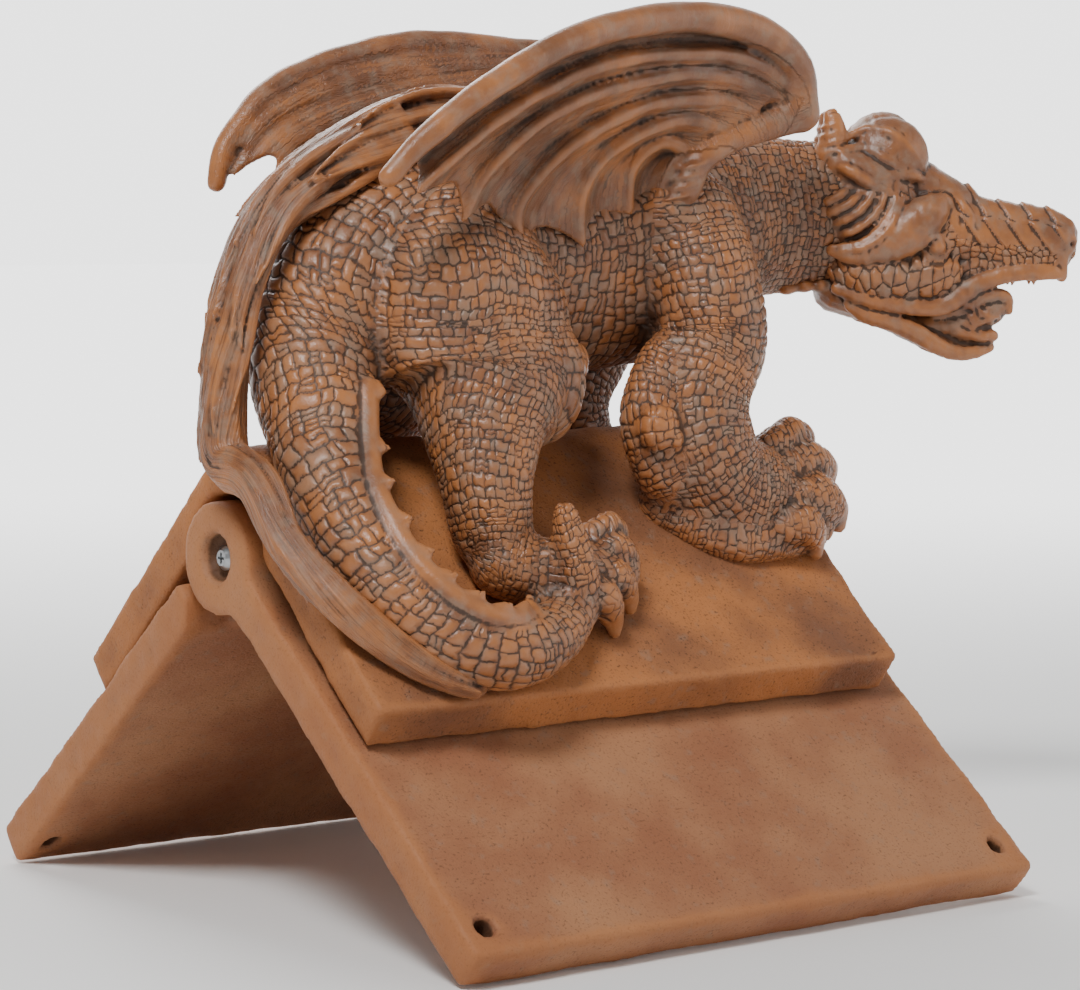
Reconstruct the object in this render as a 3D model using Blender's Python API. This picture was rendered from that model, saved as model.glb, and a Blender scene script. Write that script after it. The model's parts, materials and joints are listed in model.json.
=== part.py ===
"""Dragon roof sculpture: a cast dragon on a two-slope saddle, hinged over two flat roof plates.

X runs along the ridge with +X toward the dragon's chest, Y runs across it and Z is up. The
shapes are worked out in millimetres and turned into metres as each mesh is made. While they
are modelled, x = 0 is the middle of the ridge, y = 0 the hinge axis and z = 0 the ground.
"""
import math

import bmesh
import bpy
from mathutils import Euler, Matrix, Vector

MM = 0.001

# Roof plates
PLATE_LENGTH = 305.0
PLATE_THICKNESS = 20.0
HINGE_TO_EDGE = 227.0
PLATE_PITCH = math.radians(40.0)
PLATE_TOP_BEVEL = 10.0
EDGE_ROUND = 2.0
FIXING_HOLE = 9.0
FIXING_FROM_END = 13.0
FIXING_FROM_EDGE = 15.0

# Hinge
KNUCKLE_RADIUS = 24.0
KNUCKLE_WIDTH = 25.0
KNUCKLE_GAP = 0.5
KNUCKLE_FILLET = 12.0
KNUCKLE_CLEARANCE = 6.0
NECK_OVERLAP = 10.0
COUNTERBORE = 21.0
COUNTERBORE_DEPTH = 8.0
SHANK = 6.0
SHANK_PLAY = 0.7
SCREW_HEAD = 10.7
SCREW_HEAD_HEIGHT = 4.0
SCREW_HEAD_EDGE = 2.0
SCREW_TIP_SHORT = 2.0
SLOT_LENGTH = 4.6
SLOT_WIDTH = 1.1
SLOT_DEPTH = 1.6
TOUCH_GAP = 0.3
OVERCUT = 1.0

# Saddle under the dragon
SADDLE_NEAR_END = -147.0
SADDLE_FAR_END = 138.0
SADDLE_THICKNESS = 20.0
SADDLE_PITCH = math.radians(43.7)
SADDLE_FOOT = 120.0
SADDLE_EDGE_LEAN = 3.0
RIDGE_ROUND = 14.0
CHANNEL_CLEARANCE = 2.5
LUG_RADIUS = 21.0
LUG_WEB = 26.0
WEB_SINK = 3.0

# Dragon. It is drawn at DRAWN_LENGTH over a saddle whose peak is at DRAWN_PEAK, then brought
# to its own length on the real saddle's peak.
FIGURE_LENGTH = 442.4
DRAWN_LENGTH = 442.4
DRAWN_PEAK = 206.2
TAIL_SINK = 0.85
WING_THICKNESS = 7.0
WING_SCALLOP = 0.11
WING_SAG = 5.0
HEAD_PLACE = Vector((189, -22, 296))
HEAD_TURN = math.radians(-38.5)
VOXEL = 2.8
DRAGON_TRIANGLES = 6400

HALF_PLATE = PLATE_THICKNESS / 2
PLATE_TOP = KNUCKLE_RADIUS + KNUCKLE_CLEARANCE
NECK_REACH = PLATE_TOP + PLATE_TOP_BEVEL + NECK_OVERLAP
CHANNEL_RADIUS = KNUCKLE_RADIUS + CHANNEL_CLEARANCE
HINGE_HEIGHT = HINGE_TO_EDGE * math.sin(PLATE_PITCH) + HALF_PLATE * math.cos(PLATE_PITCH)


def saddle_apex():
    """Height where the saddle's two outer faces would meet, so its lower edges rest on the plates."""
    rest = HALF_PLATE + TOUCH_GAP
    foot_y = SADDLE_FOOT * math.cos(PLATE_PITCH) + rest * math.sin(PLATE_PITCH)
    foot_z = HINGE_HEIGHT - SADDLE_FOOT * math.sin(PLATE_PITCH) + rest * math.cos(PLATE_PITCH)
    return foot_z + foot_y * math.tan(SADDLE_PITCH) + SADDLE_THICKNESS / math.cos(SADDLE_PITCH)


SADDLE_APEX = saddle_apex()


def seat(x, y, lift):
    """Point of the drawing that stands lift millimetres off the saddle's slope at (x, y)."""
    side = -1.0 if y < 0 else 1.0
    top = DRAWN_PEAK - abs(y) * math.tan(SADDLE_PITCH)
    return Vector((x, y + side * lift * math.sin(SADDLE_PITCH), top + lift * math.cos(SADDLE_PITCH)))


def material(name, colour, roughness, metallic=0.0):
    mat = bpy.data.materials.new(name)
    mat.use_nodes = True
    shader = mat.node_tree.nodes["Principled BSDF"]
    shader.inputs["Base Color"].default_value = (*colour, 1.0)
    shader.inputs["Roughness"].default_value = roughness
    shader.inputs["Metallic"].default_value = metallic
    return mat


def new_object(name, bm, mat=None):
    """Turns a mesh made in millimetres into an object in metres."""
    bmesh.ops.recalc_face_normals(bm, faces=bm.faces)
    bmesh.ops.scale(bm, vec=(MM, MM, MM), verts=bm.verts)
    mesh = bpy.data.meshes.new(name)
    bm.to_mesh(mesh)
    bm.free()
    obj = bpy.data.objects.new(name, mesh)
    bpy.context.scene.collection.objects.link(obj)
    if mat:
        mesh.materials.append(mat)
    return obj


def settle(obj):
    """Replaces an object's mesh by what its modifiers make of it."""
    evaluated = obj.evaluated_get(bpy.context.evaluated_depsgraph_get())
    mesh = bpy.data.meshes.new_from_object(evaluated)
    obj.modifiers.clear()
    obj.data = mesh
    return len(mesh.loop_triangles) or sum(len(face.vertices) - 2 for face in mesh.polygons)


def combine(obj, others, operation):
    """Joins others to obj, or cuts them out of it, and removes them."""
    for other in others:
        step = obj.modifiers.new(operation.title(), "BOOLEAN")
        step.operation = operation
        step.solver = "EXACT"
        step.use_self = True
        step.object = other
    settle(obj)
    for other in others:
        bpy.data.objects.remove(other)


def soften(obj, width):
    edge = obj.modifiers.new("Edge", "BEVEL")
    edge.width = width * MM
    edge.segments = 2
    edge.limit_method = "ANGLE"
    edge.angle_limit = math.radians(36)


def prism(outline, x0, x1):
    """Outline of (y, z) points extruded along X."""
    bm = bmesh.new()
    rings = [[bm.verts.new((x, y, z)) for y, z in outline] for x in (x0, x1)]
    count = len(outline)
    for i in range(count):
        j = (i + 1) % count
        bm.faces.new((rings[0][i], rings[0][j], rings[1][j], rings[1][i]))
    bm.faces.new(rings[0])
    bm.faces.new(rings[1])
    return bm


def cylinder_x(radius, x0, x1, sides=32, centre=(0.0, 0.0)):
    turn = 2 * math.pi / sides
    outline = [(centre[0] + radius * math.cos(i * turn), centre[1] + radius * math.sin(i * turn))
               for i in range(sides)]
    return prism(outline, x0, x1)


def arc(centre, radius, start, end, steps):
    """Points from one angle to another, in degrees, ends included."""
    angles = [math.radians(start + (end - start) * i / steps) for i in range(steps + 1)]
    return [(centre[0] + radius * math.cos(a), centre[1] + radius * math.sin(a)) for a in angles]


def catmull(a, b, c, d, t):
    return 0.5 * (2 * b + (c - a) * t + (2 * a - 5 * b + 4 * c - d) * t * t
                  + (3 * b - a - 3 * c + d) * t * t * t)


def smooth_rows(rows, per_span):
    """Rows of numbers with a smooth curve's rows added between them."""
    ends = [rows[0]] + list(rows) + [rows[-1]]
    result = []
    for i in range(len(rows) - 1):
        four = ends[i:i + 4]
        for step in range(per_span):
            result.append([catmull(*column, step / per_span) for column in zip(*four)])
    result.append(list(rows[-1]))
    return result


def tube(bm, stations, sides=14, per_span=3, up=(0, 0, 1)):
    """Round-ended limb through stations (x, y, z, half width, half height)."""
    rows = smooth_rows([list(s) if len(s) == 5 else list(s) + [s[3]] for s in stations], per_span)
    centres = [Vector(r[:3]) for r in rows]
    tangents = []
    for i in range(len(centres)):
        ahead = centres[min(i + 1, len(centres) - 1)]
        behind = centres[max(i - 1, 0)]
        tangents.append((ahead - behind).normalized())
    frames = [(centres[i], tangents[i], rows[i][3], rows[i][4]) for i in range(len(rows))]
    first, last = frames[0], frames[-1]
    for angle in (35, 65):
        back, shrink = math.sin(math.radians(angle)), math.cos(math.radians(angle))
        frames.insert(0, (first[0] - first[1] * back * min(first[2:]), first[1],
                          first[2] * shrink, first[3] * shrink))
        frames.append((last[0] + last[1] * back * min(last[2:]), last[1],
                       last[2] * shrink, last[3] * shrink))
    rings = []
    side = None
    for centre, tangent, wide, high in frames:
        across = tangent.cross(Vector(up))
        if across.length < 0.15 and side:
            across = side
        across = (across - tangent * across.dot(tangent)).normalized()
        if side and across.dot(side) < 0:
            across = -across
        side = across
        over = across.cross(tangent)
        ring = []
        for i in range(sides):
            angle = 2 * math.pi * i / sides
            ring.append(bm.verts.new(centre + across * (wide * math.cos(angle))
                                     + over * (high * math.sin(angle))))
        rings.append(ring)
    for low, high_ring in zip(rings, rings[1:]):
        for i in range(sides):
            j = (i + 1) % sides
            bm.faces.new((low[i], low[j], high_ring[j], high_ring[i]))
    bm.faces.new(rings[0])
    bm.faces.new(rings[-1])


def blob(bm, centre, radii, turn=(0, 0, 0)):
    """Ellipsoid with its radii along X, Y and Z, turned by degrees about X, Y and Z."""
    spin = Euler([math.radians(a) for a in turn]).to_matrix().to_4x4()
    place = Matrix.Translation(Vector(centre)) @ spin @ Matrix.Diagonal((*radii, 1))
    bmesh.ops.create_icosphere(bm, subdivisions=3, radius=1.0, matrix=place)


def sheet(bm, grid, thickness):
    """Closed slab of even thickness on a grid of points."""
    rows, columns = len(grid), len(grid[0])

    def normal(i, j):
        along = grid[min(i + 1, rows - 1)][j] - grid[max(i - 1, 0)][j]
        across = grid[i][min(j + 1, columns - 1)] - grid[i][max(j - 1, 0)]
        return along.cross(across).normalized()

    faces = []
    for shift in (thickness / 2, -thickness / 2):
        faces.append([[bm.verts.new(grid[i][j] + normal(i, j) * shift) for j in range(columns)]
                      for i in range(rows)])
    for layer in faces:
        for i in range(rows - 1):
            for j in range(columns - 1):
                bm.faces.new((layer[i][j], layer[i][j + 1], layer[i + 1][j + 1], layer[i + 1][j]))
    front, back = faces
    rim = [(i, 0) for i in range(rows)] + [(rows - 1, j) for j in range(1, columns)]
    rim += [(i, columns - 1) for i in range(rows - 2, -1, -1)] + [(0, j) for j in range(columns - 2, 0, -1)]
    for (i, j), (k, m) in zip(rim, rim[1:] + rim[:1]):
        bm.faces.new((front[i][j], front[k][m], back[k][m], back[i][j]))


# Saddle

def slope_outline():
    """Cross-section of the saddle: two slopes, a rounded ridge and the channel over the hinge."""
    sin_p, cos_p = math.sin(SADDLE_PITCH), math.cos(SADDLE_PITCH)
    inner_apex = SADDLE_APEX - SADDLE_THICKNESS / cos_p
    foot_y = SADDLE_FOOT * math.cos(PLATE_PITCH) + (HALF_PLATE + TOUCH_GAP) * math.sin(PLATE_PITCH)
    inner = (foot_y, inner_apex - foot_y * math.tan(SADDLE_PITCH))
    outer = (inner[0] + SADDLE_THICKNESS * sin_p - SADDLE_EDGE_LEAN * cos_p,
             inner[1] + SADDLE_THICKNESS * cos_p + SADDLE_EDGE_LEAN * sin_p)
    round_z = SADDLE_APEX - RIDGE_ROUND / cos_p
    turn = 90 - math.degrees(SADDLE_PITCH)
    ridge = arc((0, round_z), RIDGE_ROUND, turn, 180 - turn, 6)
    # The channel meets the underside where the slope's distance from the axis equals its radius.
    off_axis = (inner_apex - HINGE_HEIGHT) * cos_p
    start = turn - math.degrees(math.acos(off_axis / CHANNEL_RADIUS))
    channel = arc((0, HINGE_HEIGHT), CHANNEL_RADIUS, 180 - start, start, 12)
    left = [(-y, z) for y, z in (outer, inner)]
    return [outer] + ridge + left + channel + [inner]


def make_saddle(mat):
    saddle = new_object("saddle_block", prism(slope_outline(), SADDLE_NEAR_END, SADDLE_FAR_END), mat)
    soften(saddle, EDGE_ROUND)
    settle(saddle)
    lugs = []
    for x0, x1 in lug_spans():
        top = HINGE_HEIGHT + CHANNEL_RADIUS + WEB_SINK
        half = LUG_WEB / 2
        foot = math.degrees(math.asin(half / LUG_RADIUS))
        outline = arc((0, HINGE_HEIGHT), LUG_RADIUS, 90 + foot, 450 - foot, 20) + [(half, top), (-half, top)]
        lugs.append(new_object("lug", prism(outline, x0, x1)))
    combine(saddle, lugs, "UNION")
    return saddle


def knuckle_spans(order):
    """The two spans along X of the knuckles that are order places in from the ends."""
    outer = PLATE_LENGTH / 2 - order * (KNUCKLE_WIDTH + KNUCKLE_GAP)
    return [(-outer, -outer + KNUCKLE_WIDTH), (outer - KNUCKLE_WIDTH, outer)]


def lug_spans():
    return knuckle_spans(2)


def shank_bores(radius, reach):
    """Holes from each end of the ridge, reach millimetres long."""
    end = PLATE_LENGTH / 2
    return [(radius, -end - OVERCUT, -end + reach), (radius, end - reach, end + OVERCUT)]


# Roof plates, drawn flat with the hinge axis on their origin and then pitched

def plate_outline(side):
    corner = PLATE_TOP + PLATE_TOP_BEVEL
    half = HALF_PLATE
    points = [(PLATE_TOP, half), (HINGE_TO_EDGE, half), (HINGE_TO_EDGE, -half), (corner, -half), (PLATE_TOP, 0)]
    return [(side * s, n) for s, n in points]


def knuckle_outline(side):
    """Ring about the axis that runs into the plate through a filleted neck."""
    reach = math.sqrt((KNUCKLE_RADIUS + KNUCKLE_FILLET) ** 2 - (HALF_PLATE + KNUCKLE_FILLET) ** 2)
    rise = HALF_PLATE + KNUCKLE_FILLET
    lean = math.degrees(math.atan2(rise, reach))
    upper = arc((reach, rise), KNUCKLE_FILLET, 270, 180 + lean, 4)
    ring = arc((0, 0), KNUCKLE_RADIUS, lean, 360 - lean, 28)
    lower = arc((reach, -rise), KNUCKLE_FILLET, 180 - lean, 90, 4)
    outline = [(NECK_REACH, HALF_PLATE)] + upper + ring[1:-1] + lower + [(NECK_REACH, -HALF_PLATE)]
    return [(side * s, n) for s, n in outline]


def make_plate(name, side, order, mat):
    """Plate that falls toward side of the ridge, with knuckles order places in from the ends."""
    half = PLATE_LENGTH / 2
    plate = new_object(name, prism(plate_outline(side), -half, half), mat)
    soften(plate, EDGE_ROUND)
    settle(plate)
    rings = [new_object("ring", prism(knuckle_outline(side), x0, x1)) for x0, x1 in knuckle_spans(order)]
    combine(plate, rings, "UNION")
    bore = (SHANK + SHANK_PLAY) / 2
    reach = 2 * (KNUCKLE_WIDTH + KNUCKLE_GAP)
    cutters = [new_object("bore", cylinder_x(r, x0, x1, 24)) for r, x0, x1 in shank_bores(bore, reach)]
    if order == 0:
        cutters += [new_object("counterbore", cylinder_x(r, x0, x1, 32))
                    for r, x0, x1 in shank_bores(COUNTERBORE / 2, COUNTERBORE_DEPTH)]
    for end in (-1, 1):
        hole = bmesh.new()
        place = Matrix.Translation((end * (half - FIXING_FROM_END), side * (HINGE_TO_EDGE - FIXING_FROM_EDGE), 0))
        bmesh.ops.create_cone(hole, cap_ends=True, segments=24, radius1=FIXING_HOLE / 2,
                              radius2=FIXING_HOLE / 2, depth=3 * PLATE_THICKNESS, matrix=place)
        cutters.append(new_object("fixing", hole))
    combine(plate, cutters, "DIFFERENCE")
    plate.location = (0, 0, HINGE_HEIGHT * MM)
    plate.rotation_euler = (-side * PLATE_PITCH, 0, 0)
    return plate


def make_screw(name, end, mat):
    """Pan-head pivot screw in the counterbore, with a cross recess; end is -1 or 1 along X."""
    floor = end * (PLATE_LENGTH / 2 - COUNTERBORE_DEPTH + TOUCH_GAP)
    face = floor + end * SCREW_HEAD_HEIGHT
    tip = end * (lug_spans()[1][0] + SCREW_TIP_SHORT)
    bm = bmesh.new()
    sides = 24
    profile = [(tip, SHANK / 2), (floor, SHANK / 2), (floor, SCREW_HEAD / 2),
               (floor + end * SCREW_HEAD_HEIGHT * 0.55, SCREW_HEAD / 2),
               (face, SCREW_HEAD / 2 - SCREW_HEAD_EDGE)]
    rings = []
    for x, radius in profile:
        ring = [bm.verts.new((x, radius * math.cos(2 * math.pi * i / sides),
                              radius * math.sin(2 * math.pi * i / sides))) for i in range(sides)]
        rings.append(ring)
    for low, high in zip(rings, rings[1:]):
        for i in range(sides):
            j = (i + 1) % sides
            bm.faces.new((low[i], low[j], high[j], high[i]))
    bm.faces.new(rings[0])
    bm.faces.new(rings[-1])
    screw = new_object(name, bm, mat)
    slots = []
    for width, height in ((SLOT_LENGTH, SLOT_WIDTH), (SLOT_WIDTH, SLOT_LENGTH)):
        slot = bmesh.new()
        place = Matrix.Translation((face, 0, 0)) @ Matrix.Diagonal((2 * SLOT_DEPTH, width, height, 1))
        bmesh.ops.create_cube(slot, size=1.0, matrix=place)
        slots.append(new_object("slot", slot))
    combine(screw, slots, "DIFFERENCE")
    screw.location = (0, 0, HINGE_HEIGHT * MM)
    return screw


# Dragon. Side is -1 for its right, which faces -Y, and 1 for its left. Stations of paired
# limbs give y outward from the middle.

def spine_stations():
    """Neck, trunk and tail in one run, from the skull to where the tail meets the saddle."""
    trunk = [(190, -20, 297, 25, 33), (164, -7, 296, 27, 36), (136, 0, 295, 31, 39),
             (104, 0, 289, 36, 46), (68, 0, 281, 39, 52), (25, 0, 275, 39, 50),
             (-20, 0, 275, 40, 50), (-58, 0, 275, 38, 45), (-90, -2, 261, 33, 36),
             (-108, -10, 234, 29, 30)]
    lying = [(-117, -20, 24.5), (-121, -36, 24.5), (-120.5, -63.5, 23.7), (-107, -84, 20.4),
             (-86, -97, 18.4), (-57, -95, 14.7), (-29, -82, 10.6)]
    tail = [(*seat(x, y, r * TAIL_SINK), r, r) for x, y, r in lying]
    return trunk + tail


def tail_tip():
    """Thin end that lifts off the saddle and leans on the hind foot."""
    rows = [(-31, -83, 10, 10), (-35, -81, 22, 8), (-38, -75, 31, 6.5), (-41, -65, 43, 4.5)]
    return [(*seat(x, y, lift), r, r) for x, y, lift, r in rows]


def mane_path():
    """Crest from between the wings over the rump and down the tail's outer side: point, half width, height."""
    back = [(30, 0, 326), (-34, 0, 332), (-85, 0, 314), (-122, -1, 299), (-141, -4, 269),
            (-148, -6, 240), (-151, -10, 214), (-153, -17, 195)]
    rows = [(x, y, z, 11, 19) for x, y, z in back]
    low = [(-150, -30, 15), (-150, -52, 13), (-139, -76, 12), (-118, -94, 9), (-95, -104, 6)]
    rows += [(*seat(x, y, lift), 9, 13 - i * 2) for i, (x, y, lift) in enumerate(low)]
    return rows


def tail_teeth():
    """Points of the saw edge along the tail's inner side, with the way each one leans."""
    rows = [(-94, -24, 28), (-98, -33, 28), (-101, -43, 27), (-102, -53, 27), (-101, -62, 26),
            (-98, -70, 25), (-92, -78, 24), (-84, -84, 22), (-75, -87, 20), (-66, -88, 18)]
    return [seat(*row) for row in rows]


def front_leg(bm, side):
    def out(rows):
        return [(x, side * y, *rest) for x, y, *rest in rows]
    blob(bm, (80, side * 29, 281), (33, 22, 36))
    tube(bm, out([(80, 34, 284, 25), (80, 43, 262, 26), (81, 46, 240, 26), (70, 48, 217, 25),
                  (70, 50, 196, 26), (80, 50, 178, 26), (100, 50, 172, 24)]))
    blob(bm, (38, side * 62, 203), (12, 11, 12))
    for x0, y0, x1, y1, lift, r in toe_rows_front():
        start = seat(x0, side * y0, lift + 4)
        middle = seat((x0 + x1) / 2, side * (y0 + y1) / 2, lift + 7)
        end = seat(x1, side * y1, lift - 2)
        tube(bm, [(*start, r), (*middle, r), (*end, r * 0.85)], sides=10)
    tube(bm, [(*seat(58, side * 40, 2), 16, 13), (*seat(82, side * 48, 4), 26, 15),
              (*seat(112, side * 50, 4), 24, 14)])


def toe_rows_front():
    """Front toes: start x and y, end x and y, height over the saddle, radius."""
    return [(112, 34, 146, 26, 18, 9), (114, 42, 150, 38, 16, 9.5), (112, 52, 143, 54, 13, 10),
            (104, 60, 124, 63, 9, 9)]


def toe_rows_hind():
    return [(-14, 62, 11, 60, 13, 7), (-16, 68, 10, 70, 12, 7), (-22, 76, 0, 81, 11, 7),
            (-30, 82, -13, 88, 9, 7)]


def hind_leg(bm, side):
    blob(bm, (-45, side * 38, 247), (47, 29, 47), (0, 14, 0))
    blob(bm, (-18, side * 44, 226), (24, 22, 30))
    rows = [(-50, 50, 226, 33), (-56, 60, 205, 26), (-60, 66, 184, 20), (-60, 69, 166, 18)]
    tube(bm, [(x, side * y, z, r) for x, y, z, r in rows])
    foot = [(*seat(-58, side * 66, 12), 17, 15), (*seat(-38, side * 72, 12), 16, 14),
            (*seat(-18, side * 73, 12), 15, 13)]
    tube(bm, foot)
    for x0, y0, x1, y1, lift, r in toe_rows_hind():
        start = seat(x0, side * y0, lift)
        middle = seat((x0 + x1) / 2, side * (y0 + y1) / 2, lift + 8)
        end = seat(x1, side * y1, lift - 3)
        tube(bm, [(*start, r), (*middle, r), (*end, r * 0.8)], sides=10)


def wing_ribs(side):
    """Ribs from the leading spar inward. The first is the spar; each ends at a scallop's point."""
    ribs = [
        [(124, 57, 342), (118, 60, 362), (98, 63, 375), (66, 67, 381), (24, 71, 379), (-24, 75, 368),
         (-66, 76, 348), (-98, 75, 327), (-115, 73, 311)],
        [(120, 58, 350), (96, 61, 363), (57, 65, 366), (-2, 69, 359), (-52, 72, 338), (-85, 74, 317),
         (-101, 74, 305)],
        [(112, 57, 348), (90, 58, 355), (62, 60, 358), (29, 62, 354), (-7, 65, 345), (-35, 66, 332),
         (-56, 64, 315), (-66, 58, 294)],
        [(98, 55, 342), (76, 55, 347), (43, 56, 345), (14, 58, 336), (-12, 58, 323), (-28, 56, 308),
         (-33, 52, 294), (-22, 46, 279)],
        [(84, 51, 334), (62, 51, 338), (37, 52, 332), (17, 50, 320), (8, 46, 304), (12, 41, 283)],
        [(68, 46, 324), (53, 45, 328), (40, 42, 317), (42, 37, 297)],
    ]
    if side > 0:
        ribs = far_spars() + [[(x + 5, y, z - 2) for x, y, z in rib] for rib in ribs[3:]]
    return [[Vector((x, side * y, z)) for x, y, z in rib] for rib in ribs]


def far_spars():
    """The left wing is carried a little lower and rounder than the right one."""
    return [
        [(126, 57, 338), (122, 60, 356), (104, 64, 367), (80, 67, 370), (50, 70, 372), (14, 72, 374),
         (-19, 73, 370), (-52, 73, 361), (-78, 72, 348), (-98, 71, 327), (-104, 70, 310)],
        [(122, 58, 348), (96, 61, 360), (50, 65, 363), (-7, 67, 356), (-50, 68, 346), (-81, 68, 332),
         (-97, 66, 314)],
        [(112, 57, 348), (90, 58, 354), (40, 61, 355), (-10, 62, 347), (-40, 62, 337), (-65, 62, 325),
         (-84, 59, 309)],
    ]


def along(points, t):
    """Point at share t of a smooth curve through points."""
    ends = [points[0]] + points + [points[-1]]
    place = min(max(t, 0.0), 0.9999) * (len(points) - 1)
    i = int(place)
    return catmull(*ends[i:i + 4], place - i)


def wing(bm, side):
    ribs = wing_ribs(side)
    radii = [(10, 9, 8, 7.5, 7, 6.5, 6, 5.5, 4.5), (5.5, 5, 4.5, 4.5, 4)]
    for order, rib in enumerate(ribs):
        widths = radii[0] if order == 0 else radii[1]
        rows = []
        for i, point in enumerate(rib):
            share = i / (len(rib) - 1) * (len(widths) - 1)
            rows.append((*point, widths[round(share)]))
        tube(bm, rows, sides=10)
    steps, columns = 16, 6
    inward = Vector((0.1, -side, -0.15)).normalized()
    for first, second in zip(ribs, ribs[1:]):
        grid = []
        for i in range(steps + 1):
            row = []
            for j in range(columns + 1):
                v = j / columns
                bow = math.sin(math.pi * v)
                t = i / steps * (1 - WING_SCALLOP * bow)
                point = along(first, t).lerp(along(second, t), v)
                row.append(point + inward * (WING_SAG * bow * min(1.0, 3 * t)))
            grid.append(row)
        sheet(bm, grid, WING_THICKNESS)
    arm = [(126, 57, 340, 12), (102, 53, 333, 11), (76, 46, 322, 12), (56, 38, 306, 14), (44, 28, 292, 14)]
    tube(bm, [(x, side * y, z, r) for x, y, z, r in arm])
    blob(bm, (50, side * 38, 312), (12, 10, 12))


def in_head(a, b, c):
    """World point from the head's own axes: a ahead to the snout, b to its right, c up."""
    ahead = Vector((math.cos(HEAD_TURN), math.sin(HEAD_TURN), 0))
    right = Vector((math.sin(HEAD_TURN), -math.cos(HEAD_TURN), 0))
    return HEAD_PLACE + ahead * a + right * b + Vector((0, 0, c))


def head(bm):
    turn = (0, 0, math.degrees(HEAD_TURN))

    def lump(a, b, c, radii, tilt=0):
        blob(bm, in_head(a, b, c), radii, (0, tilt, turn[2]))

    def strip(rows, **keys):
        tube(bm, [(*in_head(a, b, c), wide, high) for a, b, c, wide, high in rows], **keys)

    lump(8, 0, 2, (34, 28, 42))
    lump(19, 0, 32, (23, 17, 16), 20)
    strip([(34, 0, -6, 24, 26), (50, 0, -8, 20, 24), (70, 0, -10, 17, 20), (88, 0, -11, 15, 17.5),
           (98, 0, -12, 13, 16)])
    lump(101, 0, -4, (8, 12, 8))
    lump(103, 0, -24, (5, 9, 10))
    strip([(-6, 0, -36, 20, 10), (14, 0, -48, 18, 8), (34, 0, -58, 15, 7), (52, 0, -63, 12, 5.5),
           (64, 0, -61, 10, 5)])
    strip([(24, 0, -48, 10, 5), (44, 0, -50, 11, 5), (60, 0, -47, 12, 4.5), (72, 0, -41, 9, 4)])
    for b in (-1, 1):
        lump(33, b * 19, -1, (17, 10, 15), 15)
        lump(12, b * 20, 22, (20, 10, 13), -15)
        lump(-8, b * 24, -2, (13, 8, 16), -20)
        strip([(-4, b * 12, 30, 8, 8), (-8, b * 13, 42, 6, 6), (-3, b * 14, 50, 4, 4)], up=(1, 0, 0))
        lump(10, b * 17, -30, (22, 9, 12), 12)
        lump(38, b * 20, -14, (6, 5, 5.5))


def make_dragon(mat):
    bm = bmesh.new()
    tube(bm, spine_stations(), sides=18)
    tube(bm, tail_tip(), sides=10)
    tube(bm, mane_path(), sides=12, per_span=4)
    for point in tail_teeth():
        blob(bm, point, (5, 5, 7))
    for side in (-1, 1):
        front_leg(bm, side)
        hind_leg(bm, side)
        wing(bm, side)
    head(bm)
    place = Matrix.Translation((0, 0, SADDLE_APEX)) @ Matrix.Scale(FIGURE_LENGTH / DRAWN_LENGTH, 4)
    bmesh.ops.transform(bm, matrix=place @ Matrix.Translation((0, 0, -DRAWN_PEAK)), verts=bm.verts)
    dragon = new_object("dragon_saddle", bm, mat)
    fuse = dragon.modifiers.new("Fuse", "REMESH")
    fuse.mode = "VOXEL"
    fuse.voxel_size = VOXEL * MM
    blend = dragon.modifiers.new("Blend", "SMOOTH")
    blend.factor = 0.5
    blend.iterations = 3
    triangles = settle(dragon)
    thin = dragon.modifiers.new("Thin", "DECIMATE")
    thin.ratio = DRAGON_TRIANGLES / triangles
    settle(dragon)
    return dragon


def stand_on_origin(objects):
    """Moves everything so the origin is on the ground under the middle of the whole."""
    points = [obj.matrix_world @ vertex.co for obj in objects for vertex in obj.data.vertices]
    xs = [point.x for point in points]
    frame = bpy.data.objects.new("frame_origin", None)
    bpy.context.scene.collection.objects.link(frame)
    for obj in objects:
        obj.parent = frame
    frame.location = (-(min(xs) + max(xs)) / 2, 0, -min(point.z for point in points))


def build():
    for old in list(bpy.data.objects):
        bpy.data.objects.remove(old)
    resin = material("cast_resin", (0.40, 0.18, 0.08), 0.55)
    plate_resin = material("plate_resin", (0.48, 0.22, 0.12), 0.7)
    zinc = material("zinc_steel", (0.62, 0.62, 0.60), 0.35, 1.0)
    dragon = make_dragon(resin)
    saddle = make_saddle(resin)
    combine(dragon, [saddle], "UNION")
    bore = (SHANK + 2 * TOUCH_GAP) / 2
    reach = PLATE_LENGTH / 2 - lug_spans()[1][0] + OVERCUT
    bores = [new_object("bore", cylinder_x(r, x0, x1, 24, (0, HINGE_HEIGHT)))
             for r, x0, x1 in shank_bores(bore, reach)]
    combine(dragon, bores, "DIFFERENCE")
    pieces = [dragon,
              make_plate("right_roof_plate", -1, 0, plate_resin),
              make_plate("left_roof_plate", 1, 1, plate_resin),
              make_screw("pivot_screw_near", -1, zinc),
              make_screw("pivot_screw_far", 1, zinc)]
    for obj in pieces:
        obj.data.shade_smooth()
        obj.data.set_sharp_from_angle(angle=math.radians(40))
    bpy.context.view_layer.update()
    stand_on_origin(pieces)


build()
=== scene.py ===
"""Dragon roof sculpture: the looks of the cast dragon, its saddle and the hinged roof plates.

The forms are drawn in millimetres over a saddle whose peak is at DRAWN_PEAK, with +X toward the
dragon's chest, and PLACE brings each finished mesh into the frame. Side is -1 for the dragon's
right, which faces the camera, and 1 for its left.
"""
import json
import math

import bmesh
import bpy
import numpy as np
from bpy.props import FloatProperty, FloatVectorProperty, PointerProperty
from mathutils import Euler, Matrix, Vector
from mathutils.kdtree import KDTree


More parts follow.
